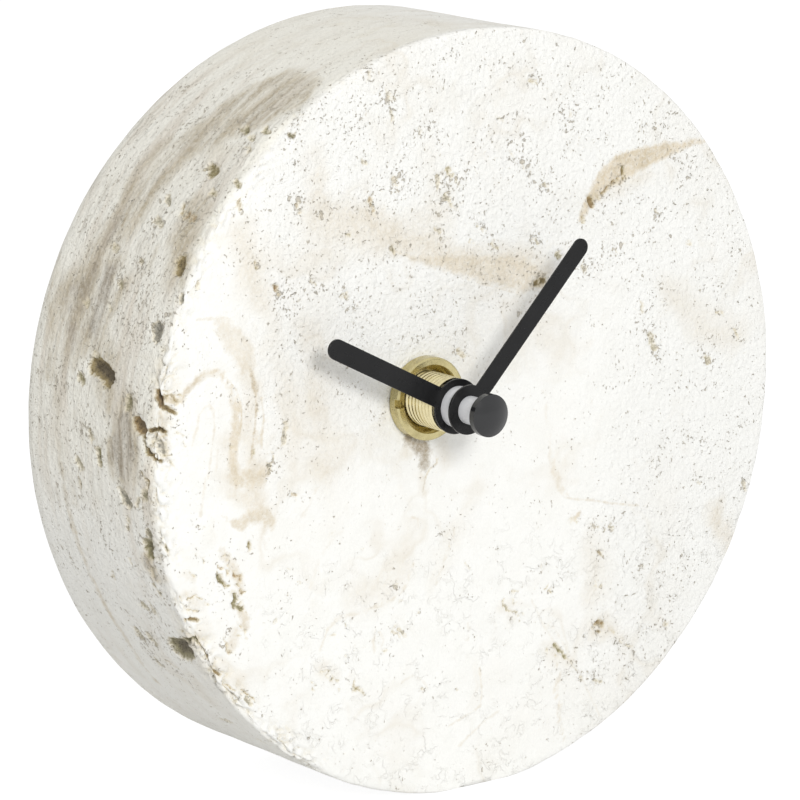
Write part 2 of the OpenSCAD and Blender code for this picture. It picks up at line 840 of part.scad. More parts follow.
// The second wheel, with the long arbor that carries the cap in front of the hands
module second_wheel() {
    color("#e9e6dc") {
        layer(second_depth, second_depth + train_wheel_t)
            gear(second_wheel_z, second_module, second_wheel_turn);
        layer(third_depth - pinion_over, second_depth)
            gear(train_pinion_z, third_module, second_pinion_turn);
        layer(second_depth, bridge_back)
            circle(d = pivot_d);
        slab(face_y - cap_out - cap_side, case_y + second_depth)
            circle(d = arbor_d);
    }
}

module intermediate_wheel() {
    color("#e9e6dc")
        at_arbor(intermediate_at) {
            layer(intermediate_depth, intermediate_depth + train_wheel_t)
                gear(intermediate_wheel_z, rotor_module, intermediate_wheel_turn);
            layer(second_depth - pinion_over, intermediate_depth)
                gear(intermediate_pinion_z, second_module, intermediate_pinion_turn);
            layer(middle_depth, bridge_back)
                circle(d = pivot_d);
        }
}

module rotor_pinion() {
    color("#e9e6dc")
        at_arbor(rotor_at) {
            layer(magnet_depth + magnet_t, intermediate_depth + train_wheel_t + pinion_over)
                gear(rotor_pinion_z, rotor_module, rotor_turn);
            layer(middle_depth, bridge_back)
                circle(d = pivot_d);
        }
}

module rotor_magnet() {
    color("#55585e")
        at_arbor(rotor_at)
            layer(magnet_depth, magnet_depth + magnet_t)
                ring(magnet_d, pivot_d + 2 * press_fit);
}

module stator() {
    color("#9a9da2")
        layer(stator_depth, stator_depth + stator_t)
            difference() {
                union() {
                    panel(leg_left, rotor_at[1] - stator_bar_h / 2, leg_right + leg_w,
                        rotor_at[1] + stator_bar_h / 2);
                    for (left = [leg_left, leg_right])
                        panel(left, rotor_at[1], left + leg_w, coil_v + leg_w / 2);
                }
                disc(rotor_at, magnet_d + 2 * magnet_gap);
                for (p = leg_places)
                    disc(p, leg_peg_d + 2 * press_fit);
            }
}

module coil_core() {
    color("#8b8e93")
        layer(core_depth, core_depth + core_t)
            difference() {
                panel(leg_left, coil_v - leg_w / 2, leg_right + leg_w, coil_v + leg_w / 2);
                for (p = leg_places)
                    disc(p, leg_peg_d + 2 * press_fit);
            }
}

// A round bar along X about the coil's axis
module coil_bar(from_x, len, d) {
    translate([shaft_x + from_x, case_y + coil_depth, shaft_z + coil_v])
        rotate([0, 90, 0])
            cylinder(h = len, d = d);
}

module coil_bobbin() {
    color("#e4dfd2")
        difference() {
            union() {
                coil_bar(bobbin_left, bobbin_len, bobbin_d);
                coil_bar(bobbin_left, flange_t, flange_d);
                coil_bar(bobbin_left + bobbin_len - flange_t, flange_t, flange_d);
            }
            layer(core_depth - press_fit, core_depth + core_t + press_fit)
                panel(leg_left, coil_v - leg_w / 2 - press_fit, leg_right + leg_w,
                    coil_v + leg_w / 2 + press_fit);
        }
}

module coil_winding() {
    color("#b46a3c")
        difference() {
            coil_bar(bobbin_left + flange_t, bobbin_len - 2 * flange_t, winding_d);
            coil_bar(bobbin_left, bobbin_len, bobbin_d + 2 * press_fit);
        }
}

module circuit_board() {
    color("#3c6b4a")
        layer(board_depth, board_depth + board_t)
            panel(board_left, board_low, board_right, board_low + board_h);
}

// A low dome that seals the chip on the board
module chip_cover() {
    dome_r = (chip_d * chip_d / 4 + chip_h * chip_h) / (2 * chip_h);
    color("#18181a")
        intersection() {
            layer(board_depth + board_t, board_depth + board_t + chip_h)
                disc([board_mid, board_low + board_h * chip_share], chip_d);
            translate([shaft_x + board_mid, case_y + board_depth + board_t + chip_h - dome_r,
                shaft_z + board_low + board_h * chip_share])
                sphere(r = dome_r);
        }
}

module quartz_crystal() {
    color("#c9ccd0")
        translate([shaft_x + board_mid, case_y + board_depth + board_t + crystal_d / 2,
            shaft_z + board_low + board_h * crystal_share])
            cylinder(h = crystal_len, d = crystal_d);
}

// The positive contact: a plate against the bay's end, with a strip up to the board
module contact_plus() {
    color("#c9cbcd")
        layer(cell_depth - button_d / 2, cell_depth + button_d / 2) {
            panel(inner_half_w - strip_t, cell_v - button_d / 2, inner_half_w, bay_high);
            panel(inner_half_w - strip_t, bay_high, inner_half_w, board_low - wheel_gap);
        }
    color("#c9cbcd")
        layer(board_depth + board_t, board_depth + board_t + strip_t)
            panel(board_right - board_w / 3, board_low - wheel_gap * 2, inner_half_w, board_low + board_w / 3);
    color("#c9cbcd")
        layer(cell_depth - button_d / 2, board_depth + board_t + strip_t)
            panel(inner_half_w - strip_t, room_low - divider_t, inner_half_w, board_low - wheel_gap);
}

// The negative contact: a sprung leaf at the bay's other end, with a strip along the divider
module contact_minus() {
    reach = cell_start + inner_half_w;
    strip_depth = bridge_back + screw_head_t + wheel_gap;
    strip_high = room_low + strip_t;
    color("#c9cbcd") {
        layer(cell_depth - button_d / 2, cell_depth + button_d / 2) {
            panel(-inner_half_w, cell_v - cell_r / 2, -inner_half_w + strip_t, bay_high);
            polygon([[-inner_half_w, cell_v + cell_r / 2], [-inner_half_w + reach, cell_v],
                [-inner_half_w, cell_v - cell_r / 2], [-inner_half_w, cell_v - cell_r / 2 + 2 * strip_t],
                [-inner_half_w + reach - strip_t, cell_v],
                [-inner_half_w, cell_v + cell_r / 2 - 2 * strip_t]]);
        }
        layer(cell_depth - button_d / 2, strip_depth + strip_t * 2)
            panel(-inner_half_w, bay_high - strip_t, -inner_half_w + strip_t, strip_high);
        layer(strip_depth, strip_depth + strip_t * 2)
            panel(-inner_half_w, room_low, board_left + board_w / 3, strip_high);
        layer(strip_depth - wheel_gap, strip_depth + strip_t * 2)
            panel(board_left, room_low, board_left + board_w / 3, strip_high);
    }
}

module battery() {
    color("#7d8a94")
        translate([shaft_x + cell_start, case_y + cell_depth, shaft_z + cell_v])
            rotate([0, 90, 0]) {
                cylinder(h = cell_len, d = cell_d);
                cylinder(h = cell_len + button_len, d = button_d);
            }
}

// Outline of a hand: a ring round the pipe and a straight blade with a round tip
module hand(len, w, ring_d, bore_d, angle) {
    difference() {
        rotate(90 - angle) {
            circle(d = ring_d);
            translate([0, -w / 2])
                square([len - w / 2, w]);
            disc([len - w / 2, 0], w);
        }
        circle(d = bore_d);
    }
}

module hour_hand() {
    color("#1c1c1e")
        raised(hour_out, hour_out + hand_t)
            hand(hour_len, hour_w, hour_ring_d, hour_pipe_d + 2 * press_fit, hour_angle);
}

module minute_hand() {
    color("#1c1c1e")
        raised(minute_out, minute_out + hand_t)
            hand(minute_len, minute_w, minute_ring_d, minute_pipe_d + 2 * press_fit, minute_angle);
}

// The cap on the seconds arbor: a short round body with a low dome and a recess over the pipe's end
module centre_cap() {
    dome_r = (cap_d * cap_d / 4 + cap_dome * cap_dome) / (2 * cap_dome);
    front = cap_out + cap_side + cap_dome;
    color("#1c1c1e")
        difference() {
            intersection() {
                raised(cap_out, front)
                    circle(d = cap_d);
                translate([shaft_x, face_y - front + dome_r, shaft_z])
                    sphere(r = dome_r, $fn = 128);
            }
            raised(cap_out - cut, cap_out + cap_recess)
                circle(d = minute_pipe_d + 2 * cap_recess_gap);
            raised(cap_out, cap_out + cap_side)
                circle(d = arbor_d + 2 * press_fit);
        }
}

stone_body();
rubber_washer();
fixing_nut();
threaded_tube();
movement_case();
back_cover();
cover_screws();
middle_plate();
rear_bridge();
bridge_screws();
hour_wheel();
minute_pipe();
reverser_wheel();
setting_gear();
setting_knob();
drive_wheel();
third_wheel();
second_wheel();
intermediate_wheel();
rotor_pinion();
rotor_magnet();
stator();
coil_core();
coil_bobbin();
coil_winding();
circuit_board();
chip_cover();
quartz_crystal();
contact_plus();
contact_minus();
battery();
hour_hand();
minute_hand();
centre_cap();
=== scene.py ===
# %% [markdown]
# # A round stone table clock
#
# The clock is a short drum of cast stone with a plain face. A brass tube with a slotted nut comes
# through the face, left of and above its middle, and two black baton hands turn in front of it.
# The exact solids of every piece are loaded first and give each place and size. This script then
# dresses them: the stone, the fittings and the hands are modelled again with their fine detail,
# and every other piece gets a finish made of nodes.

# %% Load the exact solids
import bmesh
import bpy
import json
import numpy as np
import random
from math import atan2, cos, hypot, pi, radians, sin, sqrt
from mathutils import Matrix, Vector, noise


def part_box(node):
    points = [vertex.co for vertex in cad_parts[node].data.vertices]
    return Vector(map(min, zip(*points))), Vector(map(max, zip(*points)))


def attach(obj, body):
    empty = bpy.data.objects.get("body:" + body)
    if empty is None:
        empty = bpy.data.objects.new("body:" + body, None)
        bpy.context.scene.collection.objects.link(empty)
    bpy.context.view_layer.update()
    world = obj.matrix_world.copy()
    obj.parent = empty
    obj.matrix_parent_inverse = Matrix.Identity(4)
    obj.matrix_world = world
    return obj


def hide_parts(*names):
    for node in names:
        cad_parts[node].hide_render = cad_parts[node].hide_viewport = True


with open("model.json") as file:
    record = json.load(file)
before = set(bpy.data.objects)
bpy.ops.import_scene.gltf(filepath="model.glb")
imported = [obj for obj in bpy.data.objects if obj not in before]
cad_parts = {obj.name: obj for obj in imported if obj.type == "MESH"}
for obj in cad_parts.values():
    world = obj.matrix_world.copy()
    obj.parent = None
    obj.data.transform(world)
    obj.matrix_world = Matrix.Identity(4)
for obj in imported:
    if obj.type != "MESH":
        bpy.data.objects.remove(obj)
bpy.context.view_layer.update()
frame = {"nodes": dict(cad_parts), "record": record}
solids = frame["nodes"]

# %% [markdown]
# ## Places
#
# Lengths below are written in millimetres and made metres with one factor, because a clock is
# easier to think about in millimetres. Places on the face are counted from the middle of the
# face, with x to the right and z up, and the hand shaft stands a little left of and above it.

# %% Places shared by several pieces
mm = 0.001
stone_low, stone_high = (Vector(corner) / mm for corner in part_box("stone_body"))
face_y, back_y = stone_low.y, stone_high.y
drum_r = (stone_high.x - stone_low.x) / 2
drum_z = stone_high.z - drum_r
tube_low, tube_high = (Vector(corner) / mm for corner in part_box("threaded_tube"))
shaft_x = (tube_low.x + tube_high.x) / 2
shaft_z = (tube_low.z + tube_high.z) / 2
print("drum radius %.2f, axis height %.2f, shaft at x %.2f, z %.2f mm"
      % (drum_r, drum_z, shaft_x, shaft_z))

# %% [markdown]
# ## Small helpers
#
# A finished piece has its place in its mesh and stands at the origin, as the solids do. `finish`
# closes a mesh, turns its faces outwards, makes the object and lets it ride on the body that
# carries it.

# %% Helpers for pieces
def in_metres(mesh):
    bmesh.ops.scale(mesh, vec=(mm, mm, mm), verts=mesh.verts)


def finish(mesh, name, body, finish_of_piece, slot, *nodes, flat_above=30):
    bmesh.ops.remove_doubles(mesh, verts=mesh.verts, dist=0.002)
    bmesh.ops.recalc_face_normals(mesh, faces=mesh.faces)
    in_metres(mesh)
    data = bpy.data.meshes.new(name)
    mesh.to_mesh(data)
    mesh.free()
    data.validate()
    piece = bpy.data.objects.new(name, data)
    bpy.context.scene.collection.objects.link(piece)
    data.materials.append(finish_of_piece)
    data.shade_smooth()
    data.set_sharp_from_angle(angle=radians(flat_above))
    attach(piece, body)
    if nodes:
        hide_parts(*nodes)
    print("%s: %d faces" % (name, len(data.polygons)))
    return piece


def lathe(profile, centre_x, centre_z, steps=96):
    """Spins a closed outline of (radius, y) points about an axis along y."""
    mesh = bmesh.new()
    corners = [mesh.verts.new((radius, y, 0)) for radius, y in profile]
    edges = [mesh.edges.new((a, b)) for a, b in zip(corners, corners[1:] + corners[:1])]
    bmesh.ops.spin(mesh, geom=corners + edges, cent=(0, 0, 0), axis=(0, 1, 0),
                   angle=2 * pi, steps=steps, use_merge=True)
    bmesh.ops.translate(mesh, vec=(centre_x, 0, centre_z), verts=mesh.verts)
    return mesh


# %% Helpers for finishes
def new_finish(name, colour, roughness, metallic=0.0):
    material = bpy.data.materials.new(name)
    material.use_nodes = True
    shader = material.node_tree.nodes["Principled BSDF"]
    shader.inputs["Base Color"].default_value = (*colour, 1)
    shader.inputs["Roughness"].default_value = roughness
    shader.inputs["Metallic"].default_value = metallic
    return material, material.node_tree, shader


def node(tree, kind, inputs=None, **settings):
    made = tree.nodes.new("ShaderNode" + kind)
    for key, value in settings.items():
        setattr(made, key, value)
    for key, value in (inputs or {}).items():
        if isinstance(value, bpy.types.NodeSocket):
            tree.links.new(value, made.inputs[key])
        else:
            made.inputs[key].default_value = value
    return made


def place_on(tree):
    return node(tree, "TexCoord").outputs["Object"]


def grain(tree, place, size, detail=3.0, roughness=0.5, distortion=0.0):
    """Soft noise whose features are about size millimetres across, from 0 to 1."""
    return node(tree, "TexNoise", {"Vector": place, "Scale": 1 / (size * mm), "Detail": detail,
                                   "Roughness": roughness, "Distortion": distortion}).outputs["Fac"]


def between(tree, value, low, high, to_low=0.0, to_high=1.0):
    """Maps a value from low..high to to_low..to_high and holds it at the ends."""
    return node(tree, "MapRange", {"Value": value, "From Min": low, "From Max": high,
                                   "To Min": to_low, "To Max": to_high}).outputs["Result"]


def sums(tree, operation, a, b):
    return node(tree, "Math", {0: a, 1: b}, operation=operation).outputs["Value"]


def blend(tree, share, a, b, mode="MIX"):
    mixed = node(tree, "Mix", data_type="RGBA", blend_type=mode)
    for socket, value in ((mixed.inputs["Factor"], share), (mixed.inputs["A"], a),
                          (mixed.inputs["B"], b)):
        if isinstance(value, bpy.types.NodeSocket):
            tree.links.new(value, socket)
        elif isinstance(value, tuple):
            socket.default_value = (*value, 1)
        else:
            socket.default_value = value
    return mixed.outputs["Result"]


def bumps(tree, shader, height, distance, strength=1.0):
    """Adds relief to a shader, distance millimetres high, on top of what it has."""
    made = node(tree, "Bump", {"Height": height, "Distance": distance * mm, "Strength": strength})
    if shader.inputs["Normal"].is_linked:
        tree.links.new(shader.inputs["Normal"].links[0].from_socket, made.inputs["Normal"])
    tree.links.new(made.outputs["Normal"], shader.inputs["Normal"])


# %% [markdown]
# ## Stone finish
#
# The stone is a cast, off-white travertine. Its colour has these layers: a nearly white ground
# with faint beige swirls, streaks round the side, wide tan washes, narrower stains, pores, and
# brown in the hollows. Some of this is painted shade: a dark patch below the nut and a soft wash
# left of it, the darkening that deepens inside hollows and crevices, the dark colour of the
# crinkles, and part of the dark in the pores. Big features have their places, so the mesh
# carries them as attributes: how strong a wash is at each point, and how far the point lies
# inside a stain or a hollow. The nodes then roughen the edges of stains and hollows, which stay
# sharp although the mesh is coarser.
# Pores, grains and crinkles have no set places and come from noise, and attributes say only where
# each kind is common: grains above and at the right, crinkles below, and flowing swirls between.

# %% Stone finish
def stone_finish():
    material, tree, shader = new_finish("travertine", (0.9, 0.9, 0.86), 0.62)
    place = place_on(tree)

    def carried(name):
        return node(tree, "Attribute", attribute_name=name).outputs["Fac"]

    def bent(base, size, reach):
        """Moves a place by noise, so that what is drawn on it flows."""
        wander = node(tree, "TexNoise", {"Vector": base, "Scale": 1 / (size * mm), "Detail": 3.0})
        centred = node(tree, "VectorMath", {0: wander.outputs["Color"], 1: (0.5, 0.5, 0.5)},
                       operation="SUBTRACT").outputs["Vector"]
        offset = node(tree, "VectorMath", {0: centred, "Scale": reach * mm}, operation="SCALE")
        moved = node(tree, "VectorMath", {0: base, 1: offset.outputs["Vector"]}, operation="ADD")
        return moved.outputs["Vector"]

    def times(*values):
        result = values[0]
        for value in values[1:]:
            result = sums(tree, "MULTIPLY", result, value)
        return result

    def line_of(noise_value, width):
        """Thin lines where a noise crosses its middle."""
        away = sums(tree, "ABSOLUTE", sums(tree, "SUBTRACT", noise_value, 0.5), 0.0)
        return between(tree, away, 0.0, width, 1.0, 0.0)

    grainy, crinkled, side = carried("grainy"), carried("crinkled"), carried("side_share")
    cloud, mottle = grain(tree, place, 20, 4.0, 0.6), grain(tree, place, 4.5, 5.0, 0.65)
    flow = bent(place, 12, 22)
    swirl = line_of(grain(tree, flow, 16, 2.0, 0.5), 0.05)
    faint = times(swirl, between(tree, cloud, 0.45, 0.62), 0.55)
    ground = blend(tree, faint, (0.925, 0.922, 0.89), (0.80, 0.755, 0.665))
    ground = blend(tree, between(tree, cloud, 0.5, 0.68, 0.0, 0.22), ground, (0.84, 0.80, 0.725))
    ground = blend(tree, between(tree, mottle, 0.45, 0.75, 0.0, 0.22), ground, (0.78, 0.765, 0.70))

    # The side is warmer than the face, with streaks that run round it
    ground = blend(tree, carried("on_side"), ground, (0.99, 0.972, 0.915), "MULTIPLY")
    drawn_out = node(tree, "Mapping", {"Vector": bent(place, 14, 4), "Scale": (0.42, 3.0, 0.42)})
    along = drawn_out.outputs["Vector"]
    broad = between(tree, grain(tree, along, 9, 3.0, 0.5), 0.48, 0.68)
    fine = between(tree, grain(tree, along, 2.8, 3.5, 0.6), 0.52, 0.7)
    ground = blend(tree, times(broad, side, 0.6), ground, (0.66, 0.58, 0.475))
    thin_streaks = times(fine, side, between(tree, mottle, 0.4, 0.6, 0.1, 0.5))
    ground = blend(tree, thin_streaks, ground, (0.42, 0.375, 0.30))

    # Washes and stains, with two patches of painted shade by the nut among them. A stain's edge is
    # roughened, and grains of the ground show through both
    speckle = between(tree, grain(tree, place, 0.7, 4.0, 0.75), 0.34, 0.56, 0.55, 1.0)
    tan = blend(tree, between(tree, mottle, 0.35, 0.65), (0.62, 0.53, 0.38), (0.78, 0.69, 0.54))
    tan = blend(tree, carried("on_side"), tan, (0.78, 0.78, 0.76), "MULTIPLY")

    def with_stain_and_shade(base, share, strength):
        # A strength above one turns the tint deep brown, for the darkest stains and for the painted shade
        # below the nut
        tint = blend(tree, between(tree, strength, 1.0, 1.6), tan, (0.30, 0.25, 0.185))
        return blend(tree, times(share, speckle, between(tree, strength, 0.0, 1.0)), base, tint)

    streaky = between(tree, grain(tree, along, 6, 4.0, 0.6), 0.36, 0.6, 0.3, 1.0)
    streaky = sums(tree, "MAXIMUM", streaky, sums(tree, "SUBTRACT", 1.0, carried("on_side")))
    ground = with_stain_and_shade(ground, streaky, carried("wash"))
    ragged = between(tree, grain(tree, place, 1.6, 5.0, 0.72), 0.3, 0.7, -0.55, 0.55)
    ragged = times(ragged, between(tree, carried("stain_and_shade_soft"), 0.1, 1.0, 0.25, 1.65))
    share = sums(tree, "DIVIDE", sums(tree, "ADD", carried("stain_and_shade_reach"), ragged), carried("stain_and_shade_soft"))
    ground = with_stain_and_shade(ground, between(tree, share, -0.6, 1.0), carried("stain_and_shade_strength"))

    # Pores of three sizes, where noise passes a limit, with a yellowish ring and a dark core that are
    # partly the pore's own colour and partly painted shade inside it
    pores = None
    common = between(tree, grain(tree, place, 6, 3.0, 0.6), 0.35, 0.65, -0.06, 0.03)
    for where, more in ((grainy, 0.05), (carried("near_hollow"), 0.07), (side, 0.015)):
        common = sums(tree, "ADD", common, times(where, more))
    for size, limit in ((0.8, 0.735), (1.6, 0.78), (0.45, 0.72)):
        made = sums(tree, "ADD", grain(tree, place, size, 2.0, 0.55, 0.4), common)
        made = sums(tree, "SUBTRACT", made, limit)
        pores = made if pores is None else sums(tree, "MAXIMUM", pores, made)
    ground = blend(tree, between(tree, pores, -0.035, 0.0, 0.0, 0.4), ground, (0.82, 0.76, 0.63))
    pores = between(tree, pores, 0.0, 0.035)
    ground = blend(tree, times(pores, 0.48), ground, (0.34, 0.29, 0.21))

    # Crinkles: short, thin sunken lines, darkened in colour as painted shade
    crinkle = line_of(grain(tree, bent(place, 3.5, 3.0), 2.6, 3.0, 0.6), 0.028)
    crinkle = times(crinkle, between(tree, grain(tree, place, 3.0, 3.0), 0.44, 0.58), crinkled)
    ground = blend(tree, times(crinkle, 0.13), ground, (0.62, 0.57, 0.46))

    # Hollows: a tan lip, then grey, olive or brown inside, broken up by paler crumbs. The inside darkens
    # with depth to nearly black, which is painted shade of the hollow over its own tone
    sunk = carried("hollow")
    crumb = between(tree, grain(tree, place, 0.5, 3.0, 0.65), 0.32, 0.68, -0.32, 0.32)
    sunk = sums(tree, "ADD", sunk, times(crumb, between(tree, sunk, 0.0, 0.3)))
    tone = carried("tone")
    dark = blend(tree, between(tree, tone, 0.1, 0.55), (0.36, 0.345, 0.30), (0.29, 0.255, 0.12))
    dark = blend(tree, between(tree, tone, 0.55, 1.0), dark, (0.37, 0.225, 0.10))
    dark = blend(tree, between(tree, sunk, 1.0, 2.1, 0.0, 0.8), dark, (0.06, 0.045, 0.032))
    ground = blend(tree, between(tree, sunk, 0.0, 0.4, 0.0, 0.6), ground, (0.76, 0.68, 0.50))
    ground = blend(tree, between(tree, sunk, 0.35, 0.95, 0.0, 0.92), ground, dark)
    tree.links.new(ground, shader.inputs["Base Color"])

    bumps(tree, shader, grain(tree, place, 5, 4.0, 0.6), 0.26)
    rough_share = between(tree, grainy, 0.0, 1.0, 0.22, 1.0)
    bumps(tree, shader, times(grain(tree, place, 0.75, 3.0, 0.6), rough_share), 0.46)
    bumps(tree, shader, times(crinkle, -1.0), 0.06)
    bumps(tree, shader, times(fine, side, -1.0), 0.05)
    bumps(tree, shader, times(pores, -1.0), 0.2)
    shader.inputs["Specular IOR Level"].default_value = 0.3
    return material


travertine = stone_finish()
print("finish:", travertine.name)
